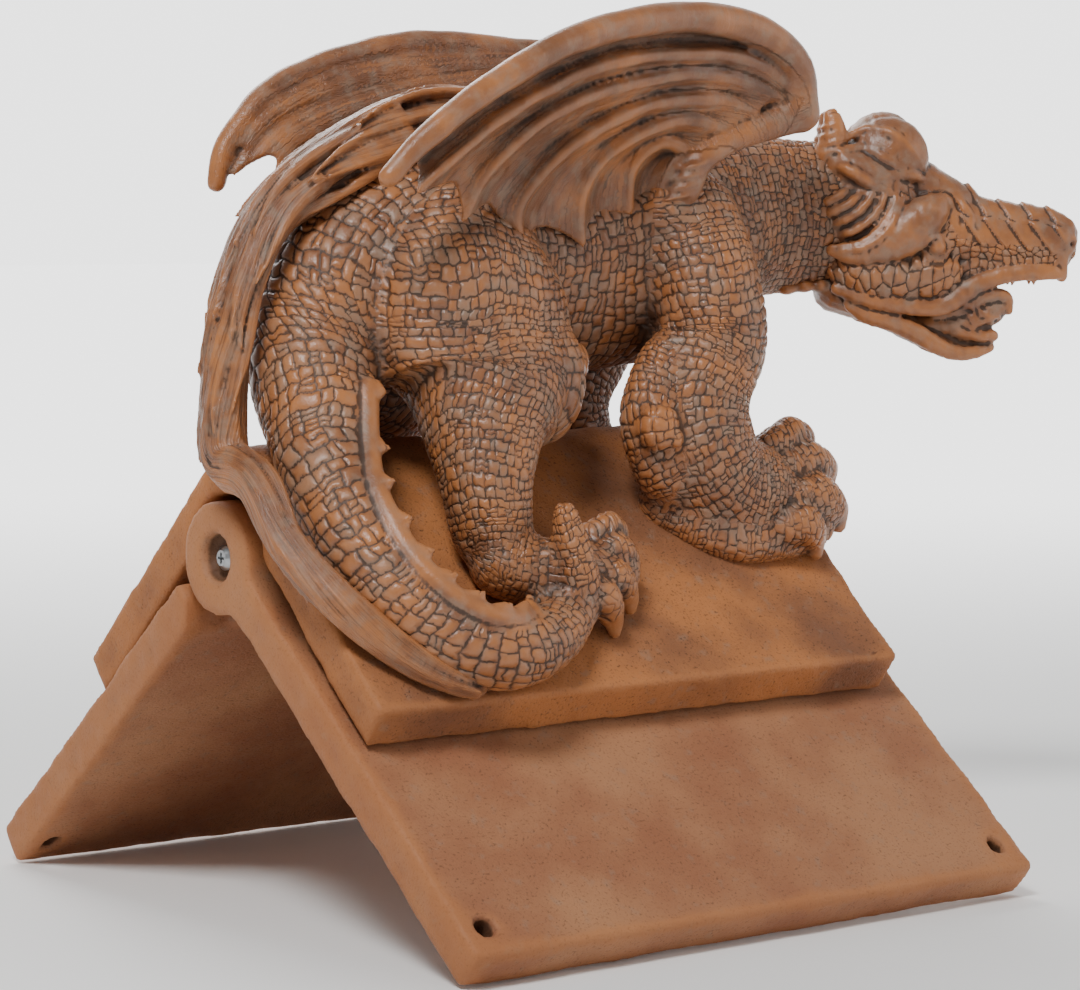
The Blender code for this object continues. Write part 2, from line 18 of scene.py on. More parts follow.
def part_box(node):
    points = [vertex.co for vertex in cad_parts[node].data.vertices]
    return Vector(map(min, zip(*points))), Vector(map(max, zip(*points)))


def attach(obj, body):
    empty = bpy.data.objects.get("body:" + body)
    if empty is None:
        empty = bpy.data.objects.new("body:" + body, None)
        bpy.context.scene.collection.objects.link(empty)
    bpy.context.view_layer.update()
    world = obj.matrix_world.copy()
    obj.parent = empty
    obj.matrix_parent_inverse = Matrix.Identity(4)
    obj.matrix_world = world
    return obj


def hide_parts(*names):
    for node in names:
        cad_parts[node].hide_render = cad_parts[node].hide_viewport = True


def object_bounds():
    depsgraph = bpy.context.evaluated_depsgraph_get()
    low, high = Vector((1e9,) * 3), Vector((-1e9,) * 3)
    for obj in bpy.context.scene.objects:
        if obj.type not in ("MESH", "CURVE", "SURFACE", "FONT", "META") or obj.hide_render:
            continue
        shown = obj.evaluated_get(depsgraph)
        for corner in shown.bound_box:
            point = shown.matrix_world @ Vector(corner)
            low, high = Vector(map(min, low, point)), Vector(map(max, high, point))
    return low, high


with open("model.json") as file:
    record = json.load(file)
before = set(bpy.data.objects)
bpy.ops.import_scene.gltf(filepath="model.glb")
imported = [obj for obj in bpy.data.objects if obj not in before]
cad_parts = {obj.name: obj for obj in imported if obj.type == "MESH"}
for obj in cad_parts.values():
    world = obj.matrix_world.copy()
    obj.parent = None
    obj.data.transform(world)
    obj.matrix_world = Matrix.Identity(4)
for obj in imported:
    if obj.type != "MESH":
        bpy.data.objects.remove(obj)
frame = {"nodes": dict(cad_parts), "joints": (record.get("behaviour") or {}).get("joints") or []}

bl_info = {
    "name": "Dragon Roof Sculpture",
    "version": (1, 0, 0),
    "blender": (4, 5, 0),
    "location": "View3D > Sidebar > Dragon",
    "description": "Dresses the dragon, its saddle and the hinged roof plates",
    "category": "Add Mesh",
}

CAD_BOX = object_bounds()
MM = 0.001
HINGE = Vector(frame["joints"][0]["pos_m"])
PLATE_LOW, PLATE_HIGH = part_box("right_roof_plate")
PLATE_MIDDLE = (PLATE_LOW.x + PLATE_HIGH.x) / 2

# The drawing's own ridge and slopes
DRAWN_PEAK = 206.2
PEAK_OVER_HINGE = 52.6
DRAWN_HINGE = DRAWN_PEAK - PEAK_OVER_HINGE
SLOPE = math.radians(43.7)
PLACE = (Matrix.Translation((PLATE_MIDDLE, 0, HINGE.z)) @ Matrix.Scale(MM, 4)
         @ Matrix.Translation((0, 0, -DRAWN_HINGE)))

# How finely each skin is drawn, in millimetres
MASS_VOXEL = 2.8
BODY_VOXEL = 1.27
HEAD_VOXEL = 0.9
WING_VOXEL = 1.2
MANE_VOXEL = 1.15
SADDLE_VOXEL = 2.2
PLATE_VOXEL = 2.4


def linear(code):
    """The linear colour that shaders use, from an sRGB hex value."""
    parts = [int(code[i:i + 2], 16) / 255 for i in (1, 3, 5)]
    return tuple(c / 12.92 if c <= 0.04045 else ((c + 0.055) / 1.055) ** 2.4 for c in parts)


class DragonSizes(bpy.types.PropertyGroup):
    groove_depth: FloatProperty(
        name="Groove depth", description="Depth of the grooves between the scales",
        default=0.0007, unit="LENGTH", precision=5)
    wing_thickness: FloatProperty(
        name="Wing thickness", description="Thickness of the wing skin at its root",
        default=0.0066, unit="LENGTH", precision=4)
    wing_sag: FloatProperty(
        name="Wing flute depth", description="How deep the wing skin sags between two ribs",
        default=0.008, unit="LENGTH", precision=4)
    tooth_length: FloatProperty(
        name="Tail tooth", description="Length of a tooth of the saw edge on the tail",
        default=0.007, unit="LENGTH", precision=4)
    floor_size: FloatProperty(
        name="Floor", description="Width of the studio floor", default=40.0, unit="LENGTH")


class DragonColours(bpy.types.PropertyGroup):
    clay: FloatVectorProperty(
        name="Clay", description="Main terracotta brown of the casting", subtype="COLOR",
        default=linear("#80543A"))
    worn: FloatVectorProperty(
        name="Worn", description="Orange brown of the worn high spots", subtype="COLOR",
        default=linear("#B57444"))
    # Umber darkens the grooves and fine hollows, and is also the painted shade laid into broad and deep
    # hollows.
    umber: FloatVectorProperty(
        name="Umber", description="Dark wash that stays in the grooves", subtype="COLOR",
        default=linear("#1C110A"))
    # A grey-beige tone laid at random over patches, flecks and single scales.
    grey_beige: FloatVectorProperty(
        name="Dusty", description="Grey wash over the broad faces", subtype="COLOR",
        default=linear("#907C6A"))
    plate: FloatVectorProperty(
        name="Plate", description="Pinkish terracotta of the roof plates", subtype="COLOR",
        default=linear("#946043"))
    plate_pale: FloatVectorProperty(
        name="Plate, pale", description="Paler bloom on the roof plates", subtype="COLOR",
        default=linear("#AA7855"))
    zinc: FloatVectorProperty(
        name="Zinc", description="Bright zinc of the pivot screws", subtype="COLOR",
        default=linear("#B9BCBE"))
    floor: FloatVectorProperty(
        name="Floor", description="Pale studio floor", subtype="COLOR", default=linear("#F7F7F6"))


# Curves and solid forms

def waver(number, seed=0.0):
    """An even scatter of values from -1 to 1 that is the same each run."""
    value = math.sin(number * 12.9898 + seed * 78.233) * 43758.5453
    return 2 * (value - math.floor(value)) - 1


def seat(x, y, lift):
    """Point of the drawing that stands lift millimetres off the saddle's slope at (x, y)."""
    side = -1.0 if y < 0 else 1.0
    top = DRAWN_PEAK - abs(y) * math.tan(SLOPE)
    return Vector((x, y + side * lift * math.sin(SLOPE), top + lift * math.cos(SLOPE)))


def curve(points, shares):
    """Points at the given shares, 0 to 1, of a smooth curve through points."""
    points = np.array(points, float)
    ends = np.vstack([points[:1], points, points[-1:]])
    place = np.clip(np.asarray(shares, float), 0, 1) * (len(points) - 1)
    i = np.minimum(place.astype(int), len(points) - 2)
    t = (place - i)[..., None]
    a, b, c, d = ends[i], ends[i + 1], ends[i + 2], ends[i + 3]
    return 0.5 * (2 * b + (c - a) * t + (2 * a - 5 * b + 4 * c - d) * t ** 2
                  + (3 * b - a - 3 * c + d) * t ** 3)


def unit(rows):
    return rows / np.maximum(np.linalg.norm(rows, axis=-1, keepdims=True), 1e-9)


def smoothstep(low, high, value):
    t = np.clip((value - low) / (high - low), 0, 1)
    return t * t * (3 - 2 * t)


class Limb:
    """Rounded limb along stations (x, y, z, half width, half height), with its own directions.

    up is the way its outer side faces, tile the length of its scales in millimetres at each
    station or all along, and relief how strongly they show.
    """

    def __init__(self, stations, up=(0, 0, 1), tile=5.0, relief=1.0, per_span=6):
        rows = np.array([list(s) if len(s) == 5 else [*s, s[3]] for s in stations], float)
        shares = np.linspace(0, 1, per_span * (len(rows) - 1) + 1)
        rows_fine = curve(rows, shares)
        self.centre = rows_fine[:, :3]
        self.wide = np.maximum(rows_fine[:, 3], 0.3)
        self.high = np.maximum(rows_fine[:, 4], 0.3)
        tiles = np.full(len(rows), float(tile)) if np.isscalar(tile) else np.array(tile, float)
        self.tile = np.interp(shares, np.linspace(0, 1, len(rows)), tiles)
        self.relief = relief
        self.tangent = unit(np.gradient(self.centre, axis=0))
        self.across = np.zeros_like(self.centre)
        previous = None
        for i, tangent in enumerate(self.tangent):
            across = np.cross(tangent, up)
            if np.linalg.norm(across) < 0.15 and previous is not None:
                across = previous
            across = unit(across - tangent * across.dot(tangent))
            if previous is not None and across.dot(previous) < 0:
                across = -across
            self.across[i] = previous = across
        self.over = np.cross(self.across, self.tangent)
        steps = np.linalg.norm(np.diff(self.centre, axis=0), axis=1)
        middle = (self.tile[1:] + self.tile[:-1]) / 2
        self.along = np.concatenate([[0], np.cumsum(steps / middle)])

    def skin(self, bm, sides=20):
        """Adds the limb's closed, round-ended skin to bm."""
        rows = [(self.centre[i], self.tangent[i], self.across[i], self.over[i],
                 self.wide[i], self.high[i]) for i in range(len(self.centre))]
        for end, way in ((0, -1), (-1, 1)):
            centre, tangent, across, over, wide, high = rows[end]
            for angle in (35, 65):
                push = math.sin(math.radians(angle)) * min(wide, high) * way
                shrink = math.cos(math.radians(angle))
                cap = (centre + tangent * push, tangent, across, over, wide * shrink, high * shrink)
                rows.insert(0, cap) if way < 0 else rows.append(cap)
        turns = [2 * math.pi * i / sides for i in range(sides)]
        rings = [[bm.verts.new(centre + across * (wide * math.cos(a)) + over * (high * math.sin(a)))
                  for a in turns] for centre, _, across, over, wide, high in rows]
        for low, top in zip(rings, rings[1:]):
            for i in range(sides):
                j = (i + 1) % sides
                bm.faces.new((low[i], low[j], top[j], top[i]))
        bm.faces.new(rings[0])
        bm.faces.new(rings[-1])
        return self

    def measure(self, points, reach=40.0):
        """For each point: gap to the skin, place along in tiles, angle about, tiles per radian."""
        count = len(points)
        result = np.full((count, 4), 1e6, np.float32)
        low = self.centre.min(0) - self.wide.max() - reach
        high = self.centre.max(0) + self.wide.max() + reach
        inside = np.flatnonzero(((points > low) & (points < high)).all(1))
        if not len(inside):
            return result
        p = points[inside].astype(float)
        c = self.centre
        square = (p ** 2).sum(1)[:, None] - 2 * p @ c.T + (c ** 2).sum(1)[None]
        k = square.argmin(1)
        ahead = ((p - c[k]) * self.tangent[k]).sum(1)
        j = np.clip(k + np.sign(ahead).astype(int), 0, len(c) - 1)
        back = np.abs(((c[j] - p) * self.tangent[j]).sum(1))
        share = np.where(j == k, 0.0, np.abs(ahead) / (np.abs(ahead) + back + 1e-6))
        beyond = np.where(j == k, ahead, 0.0)

        def mixed(values):
            f = share[:, None] if values.ndim > 1 else share
            return values[k] * (1 - f) + values[j] * f

        offset = p - mixed(c)
        x = (offset * mixed(self.across)).sum(1)
        y = (offset * mixed(self.over)).sum(1)
        wide, tall = mixed(self.wide), mixed(self.high)
        out = np.hypot(x, y)
        fit = np.hypot(x / wide, y / tall) + 1e-6
        size = np.sqrt(wide * tall)
        tile = mixed(self.tile)
        gap = np.hypot(np.maximum(out - out / fit, 0), beyond) + np.minimum(out - out / fit, 0)
        result[inside, 0] = gap
        result[inside, 1] = mixed(self.along) + beyond / tile
        result[inside, 2] = np.arctan2(x, y)
        result[inside, 3] = size / tile
        return result


class Ball:
    """Ellipsoid with radii along X, Y and Z, turned by degrees about X, Y and Z."""

    def __init__(self, centre, radii, turn=(0, 0, 0)):
        spin = Euler([math.radians(a) for a in turn]).to_matrix().to_4x4()
        self.place = Matrix.Translation(Vector(centre)) @ spin @ Matrix.Diagonal((*radii, 1))
        self.size = min(radii)

    def skin(self, bm):
        bmesh.ops.create_icosphere(bm, subdivisions=4, radius=1.0, matrix=self.place)
        return self

    def gap(self, points):
        back = np.array(self.place.inverted())
        local = points @ back[:3, :3].T + back[:3, 3]
        return (np.linalg.norm(local, axis=1) - 1) * self.size


# Meshes

def mesh_object(name, bm):
    bmesh.ops.recalc_face_normals(bm, faces=bm.faces)
    mesh = bpy.data.meshes.new(name)
    bm.to_mesh(mesh)
    bm.free()
    obj = bpy.data.objects.new(name, mesh)
    bpy.context.scene.collection.objects.link(obj)
    return obj


def settle(obj):
    """Replaces an object's mesh by what its modifiers make of it."""
    evaluated = obj.evaluated_get(bpy.context.evaluated_depsgraph_get())
    mesh = bpy.data.meshes.new_from_object(evaluated)
    obj.modifiers.clear()
    obj.data = mesh


def fuse(obj, voxel, blend, rounds=0):
    """One closed skin over everything in obj, softened by blend steps and then subdivided."""
    skin = obj.modifiers.new("Fuse", "REMESH")
    skin.mode = "VOXEL"
    skin.voxel_size = voxel
    if blend:
        soften = obj.modifiers.new("Blend", "SMOOTH")
        soften.factor = 0.5
        soften.iterations = blend
    if rounds:
        fine = obj.modifiers.new("Fine", "SUBSURF")
        fine.levels = rounds
        fine.render_levels = rounds
    settle(obj)


def drop(obj):
    mesh = obj.data
    bpy.data.objects.remove(obj)
    bpy.data.meshes.remove(mesh)


def get_points(mesh):
    co = np.empty(len(mesh.vertices) * 3, np.float32)
    mesh.vertices.foreach_get("co", co)
    return co.reshape(-1, 3).astype(float)


def set_points(mesh, co):
    mesh.vertices.foreach_set("co", co.astype(np.float32).ravel())
    mesh.update()


def get_normals(mesh):
    rows = np.empty(len(mesh.vertices) * 3, np.float32)
    mesh.vertex_normals.foreach_get("vector", rows)
    return rows.reshape(-1, 3).astype(float)


def get_links(mesh):
    links = np.empty(len(mesh.edges) * 2, np.int32)
    mesh.edges.foreach_get("vertices", links)
    return links.reshape(-1, 2)


def relax(values, links, steps):
    """Each point's values brought to the middle of its neighbours', steps times."""
    a, b = links[:, 0], links[:, 1]
    count = len(values)
    share = np.bincount(a, minlength=count) + np.bincount(b, minlength=count)
    share = np.maximum(share, 1)[:, None]
    for _ in range(steps):
        columns = [np.bincount(a, values[b, k], count) + np.bincount(b, values[a, k], count)
                   for k in range(values.shape[1])]
        values = np.stack(columns, 1) / share
    return values


def ripple(points, length, seed):
    """A smooth uneven field from about -1 to 1 whose waves are roughly length long."""
    total = np.zeros(len(points))
    for n in range(6):
        way = np.array([waver(n, seed), waver(n, seed + 1), waver(n, seed + 2)])
        way = way / np.linalg.norm(way) * 2 * math.pi / (length * (0.7 + 0.12 * n))
        bend = 1.3 * np.sin(points @ way[[1, 2, 0]] * 0.6 + n)
        total += np.sin(points @ way + 5 * waver(n, seed + 3) + bend)
    return total / 3.2


def store(mesh, name, kind, values, domain="POINT"):
    attribute = mesh.attributes.new(name, kind, domain)
    key = {"FLOAT": "value", "FLOAT_COLOR": "color"}.get(kind, "vector")
    attribute.data.foreach_set(key, np.ascontiguousarray(values, np.float32).ravel())


def weather_and_shade(obj, tiles=None, fine_mm=0.22, broad_mm=1.8, deep_mm=5.0):
    """Notes the dark umber of fine hollows in red, and the painted shade of broad hollows in green and of
    deep ones in alpha; green also marks the worn rises, and blue is the scales.
    """
    mesh = obj.data
    co, normals, links = get_points(mesh), get_normals(mesh), get_links(mesh)
    near = relax(co, links, 3)
    far = relax(near, links, 24)
    # The broad and deep hollows measured here are darkened as painted shade; the fine ones hold the umber.
    deep = ((co - relax(far, links, 110)) * normals).sum(1) / deep_mm
    fine = ((co - near) * normals).sum(1) / fine_mm
    broad = ((co - far) * normals).sum(1) / broad_mm
    wash_and_shade = np.ones((len(co), 4))
    wash_and_shade[:, 0] = np.clip(0.5 + fine / 2, 0, 1)
    wash_and_shade[:, 1] = np.clip(0.5 + broad / 2, 0, 1)
    wash_and_shade[:, 2] = 0 if tiles is None else np.clip(tiles, 0, 1)
    wash_and_shade[:, 3] = np.clip(0.5 + deep / 2, 0, 1)
    store(mesh, "wash_and_shade", "FLOAT_COLOR", wash_and_shade)


def into_frame(obj, material, body="saddle"):
    """Brings a mesh drawn in millimetres into the frame, inside the CAD model's box."""
    mesh = obj.data
    mesh.transform(PLACE)
    low, high = (np.array(corner) for corner in CAD_BOX)
    co = get_points(mesh)
    set_points(mesh, np.clip(co, low, high))
    mesh.materials.clear()
    mesh.materials.append(material)
    mesh.shade_smooth()
    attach(obj, body)
    return obj


# Scale pattern

def add(tree, kind, inputs=None, **settings):
    """Adds a node with its settings; an input given as another node's socket is linked to it."""
    node = tree.nodes.new(kind)
    for name, value in settings.items():
        setattr(node, name, value)
    for name, value in (inputs or {}).items():
        if isinstance(value, bpy.types.NodeSocket):
            tree.links.new(value, node.inputs[name])
        else:
            node.inputs[name].default_value = value
    return node


def scale_cells(tree, place, plates=False):
    """Uneven scales: how far a point is from its scale's edge, and a tint for each scale.

    They lie in rows across the limb. Each row has its own offset and width of scale, the joints
    in it wander, and a few scales are halved. With plates they are irregular polygons instead.
    """
    if plates:
        inputs = {"Vector": place, "Scale": 1.0, "Randomness": 0.65}
        edge = add(tree, "ShaderNodeTexVoronoi", inputs, voronoi_dimensions="2D", feature="DISTANCE_TO_EDGE")
        cell = add(tree, "ShaderNodeTexVoronoi", inputs, voronoi_dimensions="2D", feature="F1")
        return edge.outputs["Distance"], cell.outputs["Color"]

    def calc(operation, *values):
        return add(tree, "ShaderNodeMath", dict(enumerate(values)), operation=operation).outputs[0]

    def chance(row, column, salt):
        spot = add(tree, "ShaderNodeCombineXYZ", {0: row, 1: column, 2: salt}).outputs[0]
        return add(tree, "ShaderNodeTexWhiteNoise", {"Vector": spot}, noise_dimensions="3D").outputs["Color"]

    def parts(vector):
        return add(tree, "ShaderNodeSeparateXYZ", {0: vector}).outputs

    drift = add(tree, "ShaderNodeTexNoise", {"Vector": place, "Scale": 0.62, "Detail": 2.0})
    bent = add(tree, "ShaderNodeVectorMath", {0: drift.outputs["Color"], 1: (1.1, 1.1, 0.0), 2: place},
               operation="MULTIPLY_ADD")
    u, v, _ = parts(bent.outputs[0])
    row = calc("FLOOR", u)
    along = calc("FRACT", u)
    first, second, _ = parts(chance(row, 0.5, 1.0))
    width = calc("MULTIPLY_ADD", first, 0.5, 0.62)
    w = calc("ADD", calc("MULTIPLY", v, width), calc("MULTIPLY", second, 10.0))
    column = calc("FLOOR", w)
    part = calc("FRACT", w)
    before = calc("MULTIPLY_ADD", parts(chance(row, column, 2.0))[0], 0.46, -0.23)
    after = calc("MULTIPLY_ADD", parts(chance(row, calc("ADD", column, 1.0), 2.0))[0], 0.46, -0.23)
    left = calc("SUBTRACT", part, before)
    right = calc("SUBTRACT", calc("ADD", after, 1.0), part)
    own = calc("ADD", calc("SUBTRACT", column, calc("LESS_THAN", left, 0.0)), calc("LESS_THAN", right, 0.0))
    joint = calc("DIVIDE", calc("MINIMUM", calc("ABSOLUTE", left), calc("ABSOLUTE", right)), width)
    seam = calc("MINIMUM", along, calc("SUBTRACT", 1.0, along))
    tint = chance(row, own, 5.0)
    whole = calc("LESS_THAN", parts(tint)[2], 0.84)
    cut = calc("ADD", calc("ABSOLUTE", calc("SUBTRACT", along, 0.5)), whole)
    return calc("MINIMUM", calc("SMOOTH_MIN", joint, seam, 0.12), cut), tint


def scale_sampler(plates):
    """Node group that writes each point's distance from its scale's edge into the mesh."""
    tree = bpy.data.node_groups.new("Scale sampler", "GeometryNodeTree")
    tree.interface.new_socket("Geometry", in_out="INPUT", socket_type="NodeSocketGeometry")
    tree.interface.new_socket("Geometry", in_out="OUTPUT", socket_type="NodeSocketGeometry")
    start = tree.nodes.new("NodeGroupInput")
    end = tree.nodes.new("NodeGroupOutput")
    place = add(tree, "GeometryNodeInputNamedAttribute", {"Name": "scale_place"}, data_type="FLOAT_VECTOR")
    edge, _ = scale_cells(tree, place.outputs["Attribute"], plates)
    kept = add(tree, "GeometryNodeStoreNamedAttribute",
               {"Geometry": start.outputs[0], "Name": "scale_edge", "Value": edge},
               data_type="FLOAT", domain="POINT")
    tree.links.new(kept.outputs["Geometry"], end.inputs[0])
    return tree


def scale_map(obj, limbs, smooth_forms, depth, plates=False):
    """Presses the scales' grooves into a skin and lays out the map that its material follows.

    Each point takes the place along and around its nearest limb. Where a smooth form is nearer,
    and where two limbs meet, the grooves fade out.
    """
    mesh = obj.data
    co = get_points(mesh)
    measures = np.stack([limb.measure(co) for limb in limbs])
    order = np.argsort(measures[:, :, 0], axis=0)
    rows = np.arange(len(co))
    best = order[0]
    lead = measures[order[1], rows, 0] - measures[best, rows, 0]
    relief = np.array([limb.relief for limb in limbs])[best]
    for form, reach in smooth_forms:
        gap = form.gap(co) if isinstance(form, Ball) else form.measure(co)[:, 0]
        relief = relief * smoothstep(reach * 0.4, reach, gap)

    def place(limb, point, angle):
        """Map place in tiles: along, around, with each limb on its own patch and a gentle waver."""
        u = measures[limb, point, 1] + 37.0 * limb
        v = angle * measures[limb, point, 3]
        return np.stack([u + 0.3 * np.sin(v * 0.5 + 0.2 * u), v + 0.2 * np.sin(u * 0.5), 0 * u], -1)

    store(mesh, "scale_place", "FLOAT_VECTOR", place(best, rows, measures[best, rows, 2]))
    corners = np.empty(len(mesh.loops), np.int32)
    mesh.loops.foreach_get("vertex_index", corners)
    starts = np.empty(len(mesh.polygons), np.int32)
    mesh.polygons.foreach_get("loop_start", starts)
    totals = np.empty(len(mesh.polygons), np.int32)
    mesh.polygons.foreach_get("loop_total", totals)
    first = np.repeat(corners[starts], totals)
    limb = best[first]
    base = measures[limb, first, 2]
    turn = measures[limb, corners, 2] - base
    angle = base + (turn + math.pi) % (2 * math.pi) - math.pi
    uv = mesh.uv_layers.new(name="scales")
    uv.data.foreach_set("uv", np.ascontiguousarray(place(limb, corners, angle)[:, :2], np.float32).ravel())

    sampler = obj.modifiers.new("Scales", "NODES")
    sampler.node_group = scale_sampler(plates)
    settle(obj)
    mesh = obj.data
    edge = np.empty(len(mesh.vertices), np.float32)
    mesh.attributes["scale_edge"].data.foreach_get("value", edge)
    for name in ("scale_edge", "scale_place"):
        mesh.attributes.remove(mesh.attributes[name])
    groove = 1 - smoothstep(0.0, 0.14 if plates else 0.2, edge)
    crown = smoothstep(0.1, 0.5, edge)
    strength = relief * smoothstep(0.0, 2.5, lead)
    press = depth * strength * (groove - 0.3 * crown)
    set_points(mesh, co - get_normals(mesh) * press[:, None])
    return relief


def cut_into(obj, names, edges):
    """Cuts a skin into pieces along X at the given places, keeping its shading across the cuts."""
    store(obj.data, "shade", "FLOAT_VECTOR", get_normals(obj.data))
    pieces = []
    bounds = [-1e6, *edges, 1e6]
    for name, low, high in zip(names, bounds, bounds[1:]):
        bm = bmesh.new()
        bm.from_mesh(obj.data)
        outside = [f for f in bm.faces if not low <= f.calc_center_median().x < high]
        bmesh.ops.delete(bm, geom=outside, context="FACES")
        mesh = bpy.data.meshes.new(name)
        bm.to_mesh(mesh)
        bm.free()
        piece = bpy.data.objects.new(name, mesh)
        bpy.context.scene.collection.objects.link(piece)
        pieces.append(piece)
    drop(obj)
    return pieces


def keep_shading(obj):
    mesh = obj.data
    rows = np.empty(len(mesh.vertices) * 3, np.float32)
    mesh.attributes["shade"].data.foreach_get("vector", rows)
    mesh.attributes.remove(mesh.attributes["shade"])
    mesh.normals_split_custom_set_from_vertices(rows.reshape(-1, 3))


# The dragon's body

def both(side, rows):
    """Stations given outward from the middle, on one side."""
    return [(x, side * y, *rest) for x, y, *rest in rows]


def spine():
    trunk = [(190, -20, 297, 25, 33), (164, -7, 296, 27, 36), (136, 0, 295, 31, 39),
             (104, 0, 289, 36, 46), (68, 0, 281, 39, 52), (25, 0, 275, 39, 50),
             (-20, 0, 275, 40, 50), (-58, 0, 275, 38, 45), (-90, -2, 261, 33, 36),
             (-108, -10, 234, 29, 30)]
    lying = [(-119, -19, 22.8), (-125, -35, 20.5), (-125.5, -65, 18.6), (-111, -88.5, 16.8),
             (-88, -100.5, 16.6), (-58, -96, 14), (-29, -82, 10.8)]
    sink = 0.85
    rows = trunk + [(*seat(x, y, r * sink), r, r) for x, y, r in lying]
    tiles = [4.2, 4.4, 4.8, 5.0, 5.2, 5.2, 5.0, 4.8, 5.2, 5.8, 6.4, 6.6, 6.2, 5.6, 5.2, 4.6, 3.8]
    return Limb(rows, tile=tiles)


def tail_end():
    rows = [(-31, -83, 10, 10.5), (-35, -81, 22, 9.4), (-38, -75, 31, 8.4), (-41, -66, 41, 6.2)]
    return Limb([(*seat(x, y, lift), r) for x, y, lift, r in rows], up=(0, -1, 0), tile=3.4)


def front_leg(side):
    rows = both(side, [(80, 30, 300, 26, 18), (80, 34, 284, 27, 24), (80, 43, 262, 26, 26),
                       (81, 46, 240, 26, 26), (70, 48, 217, 25, 25), (70, 50, 196, 26, 26),
                       (80, 50, 178, 26, 26), (100, 50, 172, 24, 24)])
    return Limb(rows, up=(0, side, 0), tile=[4.8, 4.6, 4.4, 4.2, 4.0, 3.6, 3.2, 3.0])


def front_paw(side):
    rows = [(*seat(58, side * 40, 2), 16, 13), (*seat(82, side * 48, 4), 26, 15),
            (*seat(112, side * 50, 4), 24, 14), (*seat(132, side * 48, 6), 22, 12)]
    return Limb(rows, up=(0, side, 1), tile=3.2, relief=0.8)


def hind_leg(side):
    rows = both(side, [(-40, 30, 292, 30, 18), (-45, 38, 268, 44, 27), (-46, 40, 244, 47, 29),
                       (-46, 46, 222, 40, 31), (-54, 56, 205, 27, 26), (-60, 66, 184, 20, 20),
                       (-60, 69, 166, 18, 18)])
    return Limb(rows, up=(0, side, 0), tile=[4.6, 4.4, 4.4, 4.2, 3.9, 3.6, 3.2])


def hind_paw(side):
    rows = [(*seat(-58, side * 66, 12), 17, 15), (*seat(-38, side * 72, 12), 16, 14),
            (*seat(-18, side * 73, 12), 15, 13), (*seat(0, side * 72, 10), 12, 11)]
    return Limb(rows, up=(0, side, 1), tile=3.2, relief=0.8)


# Each toe's root and tip (x, y, x, y), how far it lifts off the slope, and its radius
FRONT_TOES = [(112, 34, 146, 26, 18, 9), (114, 42, 150, 38, 16, 9.5), (112, 52, 143, 54, 13, 10),
              (104, 60, 124, 63, 9, 9)]
HIND_TOES = [(-14, 62, 11, 60, 13, 7), (-16, 68, 10, 70, 12, 7), (-22, 76, 0, 81, 11, 7),
             (-30, 82, -13, 88, 9, 7)]
# Saw edge along the tail: each tooth's root on the skin, and its tip
SAW_TEETH = [((-104, -42, 224), (-99, -46, 225)), ((-113, -55, 202), (-107, -60, 203)),
             ((-120, -69, 187), (-115, -74, 190)), ((-122, -83, 173), (-117, -88, 176)),
             ((-120, -94, 160), (-114, -99, 164)), ((-115, -103, 150), (-109, -107, 155)),
             ((-107, -111, 141), (-101, -114, 147)), ((-96, -117, 135), (-91, -118, 141)),
             ((-82, -115, 133), (-78, -113, 139)), ((-69, -107, 133), (-68, -104, 139))]


def toe(bm, start, middle, end, radius):
    """A knuckled toe with a blunt claw, and creases across its back."""
    way = (end - middle).normalized()
    Limb([(*start, radius), (*middle, radius * 1.04), (*middle.lerp(end, 0.75), radius * 0.86)]).skin(bm, 16)
    Ball(middle + Vector((0, 0, radius * 0.2)), (radius * 0.95,) * 3).skin(bm)
    tip = end + way * radius * 0.35 - Vector((0, 0, radius * 0.55))
    claw = Limb([(*middle.lerp(end, 0.7), radius * 0.72), (*end, radius * 0.7), (*tip, radius * 0.42)])
    claw.skin(bm, 14)
    for share in (0.05, 0.3, 0.55):
        ring = middle.lerp(end, share) + Vector((0, 0, radius * 0.1))
        Ball(ring, (radius * 0.3, radius * 0.93, radius * 0.93)).skin(bm)
    return claw


def toes(bm):
    claws = []
    for side in (-1, 1):
        for x0, y0, x1, y1, lift, r in FRONT_TOES:
            knuckle = seat((x0 + x1) / 2, side * (y0 + y1) / 2, lift + 6)
            claws.append(toe(bm, seat(x0, side * y0, lift + 3), knuckle, seat(x1, side * y1, lift - 2), r))
        for x0, y0, x1, y1, lift, r in HIND_TOES:
            knuckle = seat((x0 + x1) / 2, side * (y0 + y1) / 2, lift + 7)
            claws.append(toe(bm, seat(x0, side * y0, lift), knuckle, seat(x1, side * y1, lift - 3), r))
    return claws


def saw_edge(bm, length):
    """The smooth strip along the tail's inner side and its row of hooked teeth."""
    roots = [Vector(root) for root, _ in SAW_TEETH]
    strip = Limb([(*p, 5.4, 5.4) for p in roots])
    strip.skin(bm, 14)
    for i, (root, tip) in enumerate(SAW_TEETH):
        root, tip = Vector(root), Vector(tip)
        ahead = (roots[min(i + 1, len(roots) - 1)] - roots[max(i - 1, 0)]).normalized()
        way = (tip - root).normalized()
        end = root + way * (length + 2.2) + ahead * 3.2
        back = root - ahead * 6
        Limb([(*back, 1.6, 3.0), (*root.lerp(end, 0.35), 3.4, 4.6), (*root.lerp(end, 0.75), 2.0, 2.8),
              (*end, 0.7, 0.8)], up=tuple(ahead), per_span=4).skin(bm, 12)
    return strip


